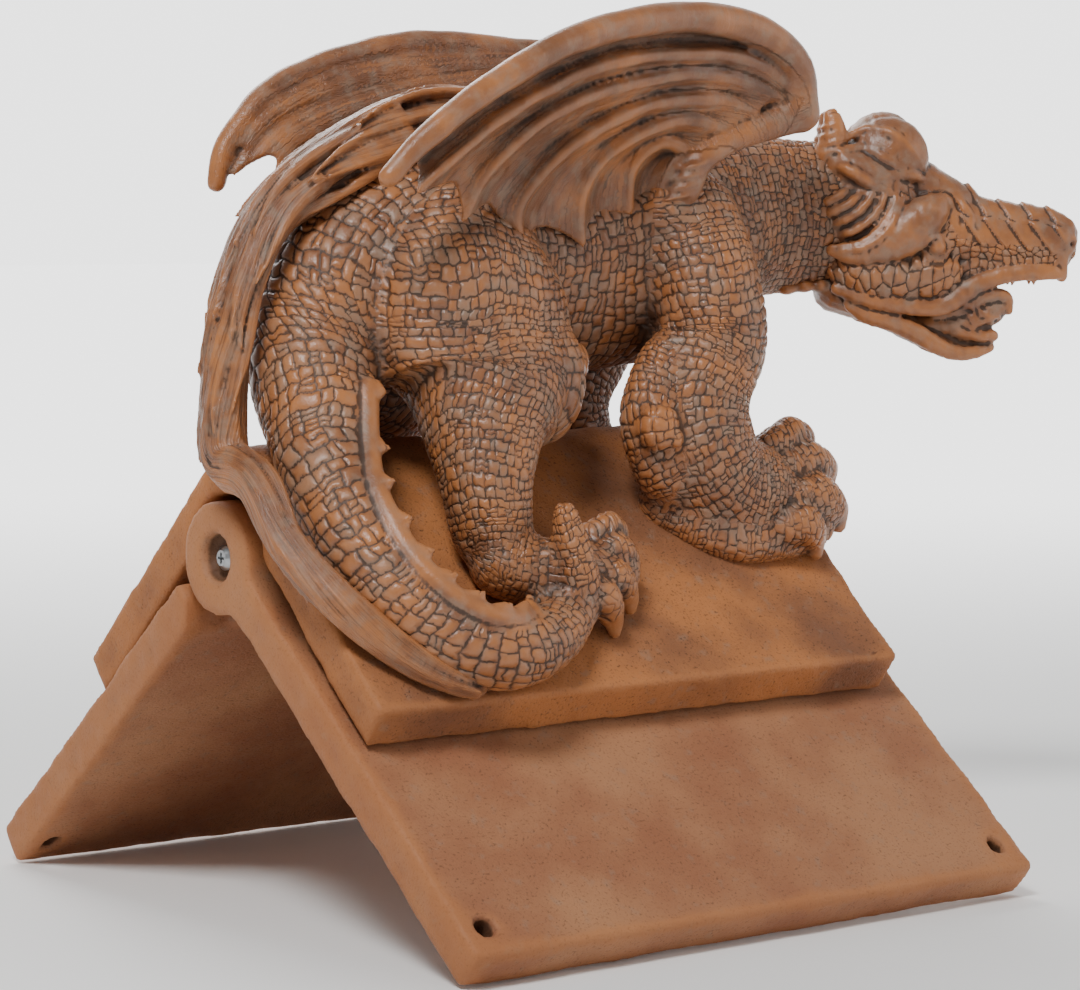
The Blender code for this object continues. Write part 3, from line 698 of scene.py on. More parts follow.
def make_body(sizes, resin):
    """Trunk, neck, tail, legs and paws as one skin with the scales pressed in."""
    limbs = [spine(), tail_end()]
    for side in (-1, 1):
        elbow = Limb(both(side, [(56, 46, 232, 14, 12), (46, 50, 208, 18, 14), (54, 52, 184, 18, 14)]),
                     up=(0, side, 0), tile=3.8)
        limbs += [front_leg(side), front_paw(side), elbow, hind_leg(side), hind_paw(side)]
    bm = bmesh.new()
    for limb in limbs:
        limb.skin(bm, 28)
    for side in (-1, 1):
        for ball in (Ball((80, side * 29, 281), (33, 22, 36)), Ball((-18, side * 44, 226), (24, 22, 30)),
                     Ball((64, side * 37, 300), (14, 12, 14))):
            ball.skin(bm)
    masses = mesh_object("masses", bm)
    fuse(masses, MASS_VOXEL, 5, 1)
    bm = bmesh.new()
    bm.from_mesh(masses.data)
    drop(masses)
    smooth = [(claw, 1.5) for claw in toes(bm)]
    smooth.append((saw_edge(bm, sizes.tooth_length / MM), 3.0))
    for side in (-1, 1):
        Ball((38, side * 61.5, 204), (9.5, 8, 11), (0, 12, 0)).skin(bm)
        Ball((43, side * 61.5, 199), (6, 8.5, 6)).skin(bm)
    Ball((10, -36, 232), (8, 7, 10)).skin(bm)
    body = mesh_object("body", bm)
    fuse(body, BODY_VOXEL, 2)
    relief = scale_map(body, limbs, smooth, sizes.groove_depth / MM)
    weather_and_shade(body, relief)
    pieces = cut_into(body, ["dragon_rear", "dragon_middle", "dragon_fore"], [-72, 34])
    for piece in pieces:
        into_frame(piece, resin)
        keep_shading(piece)
        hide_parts("dragon_saddle")


# Crest of hair from the wings over the rump and down the tail's outer side

def mane_stations():
    """Stations (x, y, z, half width, half height) down the back, then along the tail on the slope."""
    back = [(30, 0, 326, 16, 17), (-34, 0, 332, 17, 19), (-85, 0, 314, 17, 17), (-120, -1, 296, 14, 11),
            (-139, -4, 268, 12, 9), (-147, -6, 240, 11, 9.5), (-151, -10, 214, 10, 10.5),
            (-153, -17, 195, 9, 11)]
    low = [(-154, -30, 13, 6.5, 10), (-154, -52, 11, 6, 8.5), (-143, -78, 10, 5.5, 7.5),
           (-122, -97, 7, 5, 6), (-98, -108, 5, 4, 4.5)]
    return back + [(*seat(x, y, lift), wide, high) for x, y, lift, wide, high in low]


def mane_frames(count):
    """Centres along the crest with the ways along, across and away from the body."""
    rows = np.array(mane_stations(), float)
    fine = curve(rows, np.linspace(0, 1, count))
    centre = fine[:, :3]
    tangent = unit(np.gradient(centre, axis=0))
    body = spine().centre
    nearest = ((centre[:, None] - body[None]) ** 2).sum(2).argmin(1)
    away = relax_rows(centre - body[nearest], 30)
    away = unit(away - tangent * (away * tangent).sum(1)[:, None])
    across = np.cross(tangent, away)
    return centre, tangent, across, away, fine[:, 3], fine[:, 4]


def relax_rows(rows, steps):
    """A run of rows evened out along its length."""
    for _ in range(steps):
        inner = (rows[:-2] + 2 * rows[1:-1] + rows[2:]) / 4
        rows = np.vstack([rows[:1], inner, rows[-1:]])
    return rows


def lock(bm, frames, start, end, angle, width, swing, tip_lift):
    """A flat wavy lock of hair that lies on the crest from start to end and lifts at its tip."""
    centre, _, across, away, wide, high = frames
    last = len(centre) - 1
    rows = []
    steps = 10
    for i in range(steps + 1):
        t = i / steps
        k = min(int((start + (end - start) * t) * last), last)
        turn = angle + 0.16 * math.sin(5.5 * t + swing * 3) + 0.14 * swing * t
        lift = 0.86 + tip_lift * t ** 2
        p = (centre[k] + across[k] * math.sin(turn) * wide[k] * lift
             + away[k] * math.cos(turn) * high[k] * lift)
        fade = (0.35 + 0.65 * math.sin(math.pi * min(1.0, 0.12 + t * 0.95))) * (1 - 0.55 * t ** 2)
        rows.append((*p, width * fade, 3.1 * (1 - 0.6 * t ** 2)))
    k = int((start + end) / 2 * last)
    outward = across[k] * math.sin(angle) * high[k] + away[k] * math.cos(angle) * wide[k]
    Limb(rows, up=tuple(outward), per_span=2).skin(bm, 12)


def make_mane(resin):
    bm = bmesh.new()
    stations = [(x, y, z, wide * 0.78, high * 0.80) for x, y, z, wide, high in mane_stations()]
    Limb(stations).skin(bm, 24)
    frames = mane_frames(240)
    lanes = 9
    for lane in range(lanes):
        angle = (lane / (lanes - 1) - 0.5) * 3.5
        for n in range(8):
            key = lane * 11 + n
            start = (n - 0.6 + 0.45 * (lane % 2)) / 7.4 + 0.03 * waver(key, 1)
            end = start + 0.20 + 0.04 * waver(key, 2)
            if end > 0.03 and start < 0.95:
                lock(bm, frames, max(start, 0.0), min(end, 1.0), angle, 3.6 + 0.9 * waver(key, 4),
                     waver(key, 3), 0.34 + 0.20 * waver(key, 5))
    mane = mesh_object("dragon_mane", bm)
    fuse(mane, MANE_VOXEL, 2)
    mesh = mane.data
    co = get_points(mesh)
    centre, tangent, across, away, _, _ = frames
    tree = KDTree(len(centre))
    for i, point in enumerate(centre):
        tree.insert(point, i)
    tree.balance()
    near = np.array([tree.find(p)[1] for p in co])
    offset = co - centre[near]
    steps = np.linalg.norm(np.diff(centre, axis=0), axis=1)
    length = np.concatenate([[0], np.cumsum(steps)])
    u = length[near] + (offset * tangent[near]).sum(1)
    v = np.arctan2((offset * across[near]).sum(1), (offset * away[near]).sum(1)) * 14
    v = v + 2.5 * np.sin(u / 21 + v / 9)
    store(mesh, "strokes", "FLOAT_VECTOR", np.stack([u, v, 0 * u], 1))
    lines = np.sin(v * 2.4 + 1.5 * np.sin(u / 17)) * 0.6 + np.sin(v * 4.1 + u / 30) * 0.4
    set_points(mesh, co + get_normals(mesh) * (0.16 * lines)[:, None])
    weather_and_shade(mane, None, 0.45, 2.4)
    into_frame(mane, resin)
    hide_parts("dragon_saddle")


# Wings

def wing_ribs(side):
    """Ribs from the leading spar inward. The first is the spar; each ends at a scallop's point."""
    near = [
        [(124, 57, 342), (118, 60, 362), (98, 63, 375), (66, 67, 381), (24, 71, 379), (-24, 75, 368),
         (-66, 76, 348), (-98, 75, 327), (-115, 73, 311)],
        [(120, 58, 350), (96, 61, 363), (57, 65, 366), (-2, 69, 359), (-52, 72, 338), (-85, 74, 317),
         (-101, 74, 305)],
        [(112, 57, 348), (90, 58, 355), (62, 60, 358), (29, 62, 354), (-7, 65, 345), (-35, 66, 332),
         (-56, 64, 315), (-66, 58, 294)],
        [(98, 55, 342), (76, 55, 347), (43, 56, 345), (14, 58, 336), (-12, 58, 323), (-28, 56, 308),
         (-33, 52, 294), (-22, 46, 279)],
        [(84, 51, 334), (62, 51, 338), (37, 52, 332), (17, 50, 320), (8, 46, 304), (12, 41, 283)],
        [(68, 46, 324), (53, 45, 328), (40, 42, 317), (42, 37, 297)],
        [(80, 48, 326), (66, 46, 322), (58, 44, 313), (57, 38, 300)],
    ]
    far = [
        [(126, 57, 338), (122, 60, 356), (104, 64, 367), (80, 67, 370), (50, 70, 372), (14, 72, 374),
         (-19, 73, 370), (-52, 73, 361), (-78, 72, 348), (-98, 71, 327), (-104, 70, 310)],
        [(122, 58, 348), (96, 61, 360), (50, 65, 363), (-7, 67, 356), (-50, 68, 346), (-81, 68, 332),
         (-97, 66, 314)],
        [(112, 57, 348), (90, 58, 354), (40, 61, 355), (-10, 62, 347), (-40, 62, 337), (-65, 62, 325),
         (-84, 59, 309)],
    ]
    ribs = near if side < 0 else far + [[(x + 5, y, z - 2) for x, y, z in rib] for rib in near[3:]]
    return [[(x, side * y, z) for x, y, z in rib] for rib in ribs]


SCALLOP = 0.11


def wing_skin(bm, ribs, side, sag, thickness):
    """The fluted skin between the ribs, and the places on it that its striations follow."""
    steps, columns = 90, 14
    inward = np.array(Vector((0.1, -side, -0.15)).normalized())
    spots = []
    for panel, (first, second) in enumerate(zip(ribs, ribs[1:])):
        v = np.linspace(0, 1, columns + 1)[None, :]
        t = np.linspace(0, 1, steps + 1)[:, None]
        bow = np.sin(math.pi * v) ** 0.8
        share = t * (1 - SCALLOP * bow)
        face = curve(first, share) * (1 - v[..., None]) + curve(second, share) * v[..., None]
        face = face + inward * (sag * bow * np.minimum(1.0, 3 * t))[..., None]
        along = np.gradient(face, axis=0)
        over = unit(np.cross(along, np.gradient(face, axis=1)))
        half = (thickness / 2 * (1 - 0.45 * t ** 2))[..., None]
        layers = []
        for way in (1, -1):
            grid = face + over * half * way
            layers.append([[bm.verts.new(p) for p in row] for row in grid])
        for layer in layers:
            for a, b in zip(layer, layer[1:]):
                for j in range(columns):
                    bm.faces.new((a[j], a[j + 1], b[j + 1], b[j]))
        front, back = layers
        for j in range(columns):
            bm.faces.new((front[0][j], front[0][j + 1], back[0][j + 1], back[0][j]))
            bm.faces.new((front[-1][j], front[-1][j + 1], back[-1][j + 1], back[-1][j]))
        for i in range(steps):
            bm.faces.new((front[i][0], front[i + 1][0], back[i + 1][0], back[i][0]))
            bm.faces.new((front[i][-1], front[i + 1][-1], back[i + 1][-1], back[i][-1]))
        length = np.concatenate([np.zeros((1, columns + 1)),
                                 np.cumsum(np.linalg.norm(np.diff(face, axis=0), axis=2), axis=0)])
        width = (panel + v) * 15 + 0 * t
        spots.append(np.concatenate([face, length[..., None], width[..., None]], 2).reshape(-1, 5))
    return np.vstack(spots)


def make_wing(name, side, sizes, resin):
    ribs = wing_ribs(side)
    bm = bmesh.new()
    spar_radii = [10, 9, 8, 7.5, 7, 6.5, 6, 5.5, 4.5]
    rib_radii = [3.4, 2.6, 2.0, 1.7, 1.4]
    for order, rib in enumerate(ribs):
        radii = spar_radii if order == 0 else rib_radii
        rows = [(*point, radii[round(i / (len(rib) - 1) * (len(radii) - 1))]) for i, point in enumerate(rib)]
        Limb(rows).skin(bm, 16)
    sag = sizes.wing_sag / MM * (1.0 if side < 0 else 0.4)
    spots = wing_skin(bm, ribs, side, sag, sizes.wing_thickness / MM)
    arm = both(side, [(124, 57, 342, 10), (104, 54, 335, 7), (86, 50, 329, 7), (73, 46, 320, 8),
                      (66, 40, 306, 10), (60, 28, 292, 12)])
    Limb(arm).skin(bm, 18)
    if side > 0:
        # The far wing's tip is thick between its first two ribs
        Limb([(-86, 70, 332, 3.0), (-92, 69.5, 325, 3.0), (-97, 69, 318, 2.8)]).skin(bm, 14)
    # Wrinkles where the arm folds into the shoulder
    for fold in range(4):
        Ball((70 - fold * 2.0, side * (47.5 - fold * 1.2), 319 - fold * 4.6), (9.5 + fold * 0.5, 7.5, 2.2),
             (0, -16, 0)).skin(bm)
    wing = mesh_object(name, bm)
    fuse(wing, WING_VOXEL, 3)
    mesh = wing.data
    co = get_points(mesh)
    tree = KDTree(len(spots))
    for i, spot in enumerate(spots):
        tree.insert(spot[:3], i)
    tree.balance()
    near = np.array([tree.find(p)[1] for p in co])
    u, v = spots[near, 3], spots[near, 4]
    store(mesh, "strokes", "FLOAT_VECTOR", np.stack([u, v, 0 * u], 1))
    lines = ripple(np.stack([u * 0.06, v * 1.0, 0 * u], 1), 2.2, 3.0 + side)
    waves = ripple(co, 26.0, 8.0)
    set_points(mesh, co + get_normals(mesh) * (0.10 * lines + 0.35 * waves - 0.3)[:, None])
    weather_and_shade(wing, None, 0.6, 3.0, 7.0)
    into_frame(wing, resin)
    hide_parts("dragon_saddle")


# Head, drawn on its own axes: a ahead to the snout, b to its right, c up

HEAD_PLACE = Vector((189, -22, 296))
HEAD_TURN = math.radians(-38.5)


def in_head(a, b, c):
    ahead = Vector((math.cos(HEAD_TURN), math.sin(HEAD_TURN), 0))
    right = Vector((math.sin(HEAD_TURN), -math.cos(HEAD_TURN), 0))
    return HEAD_PLACE + ahead * a + right * b + Vector((0, 0, c))


# The snout's two rows of shields: where the first starts and their pitch along a, how far the seams
# slant back and from which level, and how low and high the row reaches from the seam between them
SHIELD_ROWS = ((46.2, 10.4, -0.55, 10, 0, 40), (50, 10.2, -0.7, 0, -14, 0))
# Radii of a frill ridge from its free end to its root
RIDGE = (1.2, 2.0, 2.1, 1.9, 1.4)


def make_head(sizes, resin):
    turn = math.degrees(HEAD_TURN)
    bm = bmesh.new()
    smooth = []
    masses = []

    def lump(a, b, c, radii, tilt=0.0, lean=0.0, bare=0.0):
        """Ellipsoid, tilted nose down by tilt degrees; bare is how far its smoothness reaches."""
        ball = Ball(in_head(a, b, c), radii, (lean, tilt, turn)).skin(bm)
        masses.append(ball)
        if bare:
            smooth.append((ball, bare))

    def strip(rows, bare=0.0, sides=16, **keys):
        limb = Limb([(*in_head(a, b, c), *size) for a, b, c, *size in rows], **keys)
        limb.skin(bm, sides)
        if bare:
            smooth.append((limb, bare))
        return limb

    def surface(a, c):
        """How far out the head's masses reach at (a, c)."""
        steps = np.arange(0, 36, 0.5)
        points = np.array([in_head(a, step, c) for step in steps])
        gaps = [m.gap(points) if isinstance(m, Ball) else m.measure(points)[:, 0] for m in masses]
        inside = np.flatnonzero(np.min(gaps, axis=0) < 0)
        return steps[inside[-1]] if len(inside) else 4.0

    def fold(rows, bare=0.8):
        """Fold of skin on both sides, lying on the masses: rows of (a, c, radius, lift)."""
        path = [(a, surface(a, c) + lift, c, radius) for a, c, radius, lift in rows]
        for side in (-1, 1):
            strip([(a, side * out, c, radius) for a, out, c, radius in path], bare=bare, sides=12)

    # Skull, crest and snout
    lump(10, 0, -2, (27, 25, 36))
    lump(13, 0, 25, (20, 17, 24), 18, bare=2.0)
    masses.append(strip([(34, 0, -6, 22, 23), (50, 0, -8, 17, 19.5), (70, 0, -10, 13.5, 17.5),
                         (88, 0, -11, 11.5, 16), (97, 0, -12, 10.5, 14)]))
    # No small scales where the shields go
    smooth.append((Limb([(*in_head(a, 0, 3), 24, 19) for a in (50, 75, 101)]), 0.5))
    # Forehead and upper jaw
    masses.append(strip([(22, 0, 20, 15, 13), (38, 0, 11, 14, 11.5), (50, 0, 5, 13, 11)], bare=0.5))
    masses.append(strip([(36, 0, -28, 18, 9), (52, 0, -25, 13.5, 8.5), (66, 0, -22, 11.5, 8),
                         (84, 0, -21, 10, 7), (95, 0, -21, 9, 6)]))
    for side in (-1, 1):
        lump(17, side * 8, 27, (19, 12, 19), 30, bare=2.0)
        lump(4, side * 15, 19, (19, 10, 10), 24, bare=2.0)
        # Ear's bed, the hollow side of the frill
        lump(-1, side * 21, -1, (17, 5, 13), 24, bare=1.2)
        # Eye and cheek
        lump(38.5, side * 20, -14.3, (4.6, 4.6, 4.4), bare=0.8)
        lump(12, side * 15, -28, (24, 12, 12), 10)
        lump(30, side * 14, -28, (22, 9, 12), -6)
        # Brow: a smooth comma whose head overhangs the eye
        masses.append(strip([(-10, side * 24, -16, 3, 3), (0, side * 24, -18, 5, 5),
                             (13, side * 23, -14, 7, 8.5), (26, side * 21, -6.5, 9, 11),
                             (36, side * 17.5, 1.5, 9, 9), (42, side * 14, 5.5, 5, 5.5)],
                            bare=1.5, sides=24))
        # Horn stubs, wrinkled like a twisted root
        strip([(-10.5, side * 12, 28, 8, 8), (-8.5, side * 13, 38, 6, 6),
               (-9.5, side * 13, 45.5, 4.4, 4.4)], bare=1.5, up=(1, 0, 0))
        for c in (30, 34, 38, 42):
            size = 8.3 - (c - 30) * 0.19
            lump(-9.5, side * 12.7, c, (size, size, 1.4), -14)
    # Crest folds that sweep back from the forehead, with a small leaf
    fold([(-3, 36, 1.6, -0.6), (6, 40, 2.4, -0.9), (17, 38, 2.8, -1.2), (26, 31, 2.4, -1.1),
          (33, 22, 1.4, -0.8)])
    fold([(-6, 29, 2.0, -0.6), (4, 31, 3.0, -1.2), (14, 27, 3.0, -1.4), (23, 21, 2.0, -1.0),
          (29, 17.5, 1.0, -0.6)])
    fold([(13, 17, 1.2, -0.4), (19, 19, 3.0, -0.8), (28, 18.6, 3.0, -0.8), (35, 15.5, 1.2, -0.6)])
    fold([(-14, 24, 1.6, -0.2), (-5, 22, 2.8, -0.8), (4, 17, 3.2, -1.0), (13, 12, 2.2, -0.8),
          (20, 9, 1.4, -0.4)])
    fold([(-15, 16, 1.4, 0.0), (-6, 15, 2.2, -0.5), (3, 11, 2.2, -0.5), (9, 9, 1.6, -0.3)])
    # Ear frill: ridges in quarter rings about its upper corner, the outer one a pale rim
    rings = [[(-11, -14.5), (3, -12.5), (12, -5.5), (16.5, 1), (20, 9)],
             [(-15.0, -9), (-4, -8.2), (6, -3), (11, 2.5), (14, 9)],
             [(-17.5, -4.0), (-8, -3.2), (0.5, 0.8), (5, 4.8), (8, 9.5)],
             [(-18.5, 1.0), (-12, 1.4), (-5, 4.0), (-1, 6.8), (2, 10)],
             [(-18.5, 6.0), (-14, 6.2), (-9, 8.0), (-6, 9.8), (-4, 11.5)]]
    for ring in rings:
        fold([(a, c, size, 0.6) for (a, c), size in zip(ring, RIDGE)])
    fold([(-7, -16.5, 1.0, 0.2), (5, -14.5, 1.5, 0.4), (14, -8, 1.6, 0.4), (19, 0, 1.5, 0.2),
          (23, 8, 1.0, 0)])
    # Lids and wrinkles about the eye
    fold([(32.5, -15.5, 1.0, 0.2), (35.5, -19.2, 1.2, 0.5), (41, -19.4, 1.2, 0.5),
          (45.5, -15.5, 1.1, 0.2)], 0.4)
    fold([(27, -20, 1.1, 0), (33, -23.4, 1.4, 0), (42, -23.8, 1.4, 0), (49, -19, 1.3, 0),
          (52, -12, 1.2, 0), (52, -4, 1.0, 0)], 0)
    fold([(32.5, -14.5, 0.9, 0.2), (35, -10.6, 1.2, 0.8), (40.5, -9.8, 1.3, 0.8),
          (45.5, -13.5, 1.0, 0.2)], 0.4)
    fold([(50, 8, 1.0, -0.2), (54.5, 1, 1.5, -0.2), (55, -7, 1.4, -0.2), (53, -15, 1.0, -0.2)], 0)
    for side in (-1, 1):
        # Lip: a smooth band from the mouth's corner to the hooked nose
        strip([(-8, side * 19, -33.5, 2.4, 2.8), (4, side * 20.5, -38, 3.0, 3.6),
               (20, side * 19.5, -41, 3.2, 4.0), (34, side * 17.5, -43, 3.2, 4.0),
               (44, side * 15.5, -41.5, 3.2, 4.2), (52, side * 14, -36, 3.0, 4.6),
               (62, side * 12, -30.5, 2.8, 4.4), (76, side * 10.5, -27, 2.4, 4.0),
               (92, side * 8.5, -26.5, 2.2, 3.6), (99, side * 5, -27, 2.0, 2.6)], bare=0.6, sides=14)
        # Nose
        lump(96.5, side * 5.5, -10.5, (8, 5.6, 8), bare=1.5)
        lump(101.3, side * 5.8, -12, (4.8, 3.6, 5), bare=1.5)
        strip([(99, side * 5, -17, 4.4, 4.4), (99, side * 4.5, -23, 3.2, 3.2),
               (99.5, side * 3, -28.5, 2.6, 2.6)], bare=1.0, sides=12)
        # Teeth
        for a, c in ((66, -33), (76, -31), (86, -30.5)):
            strip([(a, side * 8.5, c + 2, 1.5), (a - 0.4, side * 8.2, c - 0.6, 1.0),
                   (a - 0.8, side * 8, c - 2.2, 0.4)], bare=0.8, sides=8, up=(1, 0, 0))
        # Lower lip, thick and smooth, with the curl at the mouth's corner
        strip([(-2, side * 18.5, -41, 2.4, 2.6), (6, side * 18.5, -46.5, 3.2, 3.6),
               (18, side * 17.5, -49.5, 3.6, 4.2), (30, side * 15.5, -54.5, 3.6, 4.6),
               (40, side * 13, -60.5, 3.4, 4.2), (49, side * 10, -64, 3.2, 3.6),
               (58, side * 7.5, -64, 2.8, 3.0), (66, side * 3, -61.5, 2.4, 2.4)], bare=2.5, sides=14)
        # Bead scutes under the neck
        for i in range(4):
            lump(-30 + i * 8, side * (13 - i), -32.0 - abs(i - 1.5), (5.2, 5, 3.4), bare=0.8)
    # Lower jaw and the floor of the mouth
    strip([(-8, 0, -36, 18, 9), (14, 0, -45, 16, 7), (34, 0, -55, 13.5, 6), (48, 0, -62, 10, 4.5),
           (60, 0, -62.5, 7.5, 3.2)], bare=6.0)
    strip([(40, 0, -56, 8, 4), (56, 0, -57.5, 7.5, 4.2), (65, 0, -57.5, 6, 3.5)], bare=3.0)
    # Tongue: a broad crumpled leaf that curls up at its tip
    strip([(20, 0, -49, 9, 4.5), (42, 0, -51, 11, 6), (56, 0, -49, 12, 8), (66, 0, -44, 11.5, 7.5),
           (72, 0, -41, 8, 5.5)], bare=3.0)
    # Rolled edges of the tongue
    for side in (-1, 1):
        strip([(40, side * 7, -47, 3.5, 3), (54, side * 10, -42, 3.6, 3.2), (64, side * 9, -37.5, 4, 3.4),
               (72, side * 5.5, -38, 4, 3.6), (74, side * 4.5, -44, 3, 2.6)], bare=1.5, sides=12)
        strip([(50, side * 8, -54, 3, 3), (60, side * 7, -55.5, 4.2, 3.4), (67, side * 4, -56, 3.4, 3)],
              bare=1.5, sides=12)
    head = mesh_object("dragon_head", bm)
    fuse(head, HEAD_VOXEL, 4)
    cheek = Limb([(*in_head(-28, 0, -4), 25, 33), (*in_head(0, 0, -4), 27, 36), (*in_head(30, 0, -8), 22, 28),
                  (*in_head(60, 0, -10), 16, 20), (*in_head(98, 0, -12), 12, 15)],
                 tile=[5.0, 6.4, 5.4, 3.8, 3.0])
    neck = Limb([(*in_head(-60, 0, -4), 25, 33), (*in_head(-28, 0, -4), 25, 33)], tile=5.0)
    relief = scale_map(head, [cheek, neck], smooth, sizes.groove_depth / MM, plates=True)
    mesh = head.data
    co = get_points(mesh)
    # Nostrils and pupils
    for side in (-1, 1):
        for a, b, c, size, depth in ((104.6, 8.4, -13.5, 3.2, 2.6), (42, 23.5, -12.2, 1.8, 0.8)):
            away = np.linalg.norm(co - np.array(in_head(a, side * b, c)), axis=1)
            co = co - get_normals(mesh) * (depth * (1 - smoothstep(0, size, away)))[:, None]
    # Shields in two rows down the snout, each one's rear edge standing proud of the one behind
    ahead, up = np.array(in_head(1, 0, 0) - in_head(0, 0, 0)), co[:, 2] - HEAD_PLACE.z
    forward = (co - np.array(HEAD_PLACE)) @ ahead
    seam = 0.5 - 0.09 * (forward - 50) + 0.9 * np.sin(forward / 3.3)
    for start, pitch, slant, level, low, top in SHIELD_ROWS:
        place = (forward - slant * (up - level) - start) / pitch
        share = place - np.floor(place)
        proud = 1.5 * (1 - share) ** 1.3 * smoothstep(0.0, 0.09, share)
        band = smoothstep(0, 1.2, up - seam - low) * smoothstep(0, 1.2, seam + top - up)
        reach = smoothstep(45, 50, forward) * (1 - smoothstep(96, 102, forward)) * band
        co = co + get_normals(mesh) * ((proud - 0.5) * reach)[:, None]
    tongue = np.linalg.norm((co - np.array(in_head(58, 0, -47))) * (1, 1, 1.3), axis=1)
    crumple = 0.7 * (1 - smoothstep(12, 20, tongue)) * np.abs(ripple(co, 8.0, 9.0))
    set_points(mesh, co + get_normals(mesh) * (0.2 * ripple(co, 7.0, 5.0) - crumple)[:, None])
    weather_and_shade(head, relief)
    into_frame(head, resin)
    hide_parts("dragon_saddle")


# Saddle, plates and screws

def slope_outline():
    """The saddle's cross-section: two slopes, a rounded ridge and the channel over the hinge."""
    foot_y, thickness, lean, ridge_round, channel = 98.5, 20.0, 3.0, 14.0, 26.5
    sin_p, cos_p = math.sin(SLOPE), math.cos(SLOPE)
    inner_apex = DRAWN_PEAK - thickness / cos_p
    inner = (foot_y, inner_apex - foot_y * math.tan(SLOPE))
    outer = (inner[0] + thickness * sin_p - lean * cos_p, inner[1] + thickness * cos_p + lean * sin_p)
    turn = 90 - math.degrees(SLOPE)
    ridge = arc((0, DRAWN_PEAK - ridge_round / cos_p), ridge_round, turn, 180 - turn, 8)
    start = turn - math.degrees(math.acos((inner_apex - DRAWN_HINGE) * cos_p / channel))
    under = arc((0, DRAWN_HINGE), channel, 180 - start, start, 16)
    left = [(-y, z) for y, z in (outer, inner)]
    return [outer] + ridge + left + under + [inner]


def arc(centre, radius, start, end, steps):
    angles = [math.radians(start + (end - start) * i / steps) for i in range(steps + 1)]
    return [(centre[0] + radius * math.cos(a), centre[1] + radius * math.sin(a)) for a in angles]


def prism(bm, outline, x0, x1):
    rings = [[bm.verts.new((x, y, z)) for y, z in outline] for x in (x0, x1)]
    count = len(outline)
    for i in range(count):
        j = (i + 1) % count
        bm.faces.new((rings[0][i], rings[0][j], rings[1][j], rings[1][i]))
    bm.faces.new(rings[0])
    bm.faces.new(rings[1])


def make_saddle(resin):
    """The two-slope saddle with its hinge lugs, edges worn and a little uneven."""
    bm = bmesh.new()
    near_end, far_end = -147.0, 138.0
    prism(bm, slope_outline(), near_end, far_end)
    lug_radius, half_web = 21.0, 13.0
    foot = math.degrees(math.asin(half_web / lug_radius))
    for x0 in (-101.5, 76.5):
        outline = arc((0, DRAWN_HINGE), lug_radius, 90 + foot, 450 - foot, 24)
        outline += [(half_web, DRAWN_PEAK - 24), (-half_web, DRAWN_PEAK - 24)]
        prism(bm, outline, x0, x0 + 25)
    saddle = mesh_object("saddle_block", bm)
    fuse(saddle, SADDLE_VOXEL, 2)
    mesh = saddle.data
    co = get_points(mesh)
    dents = 0.5 * ripple(co, 34.0, 2.0) + 0.22 * ripple(co, 9.0, 6.0) - 0.55
    set_points(mesh, co + get_normals(mesh) * dents[:, None])
    weather_and_shade(saddle, None, 0.5, 3.0)
    thin = saddle.modifiers.new("Thin", "DECIMATE")
    thin.ratio = 0.5
    settle(saddle)
    into_frame(saddle, resin)
    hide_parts("dragon_saddle")


def make_plate(node, body, material):
    """A roof plate from its CAD solid, with worn edges and a gently uneven face."""
    source = frame["nodes"][node]
    mesh = source.data.copy()
    mesh.transform(PLACE.inverted())
    plate = bpy.data.objects.new(node + "_cast", mesh)
    bpy.context.scene.collection.objects.link(plate)
    weld = plate.modifiers.new("Weld", "WELD")
    weld.merge_threshold = 0.001
    settle(plate)
    fuse(plate, PLATE_VOXEL, 2)
    mesh = plate.data
    co = get_points(mesh)
    dents = 0.45 * ripple(co, 42.0, 4.0) + 0.16 * ripple(co, 11.0, 7.0) - 0.45
    bore = np.hypot(co[:, 1], co[:, 2] - DRAWN_HINGE)
    dents = dents * smoothstep(26, 40, bore)
    set_points(mesh, co + get_normals(mesh) * dents[:, None])
    weather_and_shade(plate, None, 0.5, 2.5)
    thin = plate.modifiers.new("Thin", "DECIMATE")
    thin.ratio = 0.5
    settle(plate)
    into_frame(plate, material, body)
    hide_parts(node)


# Materials

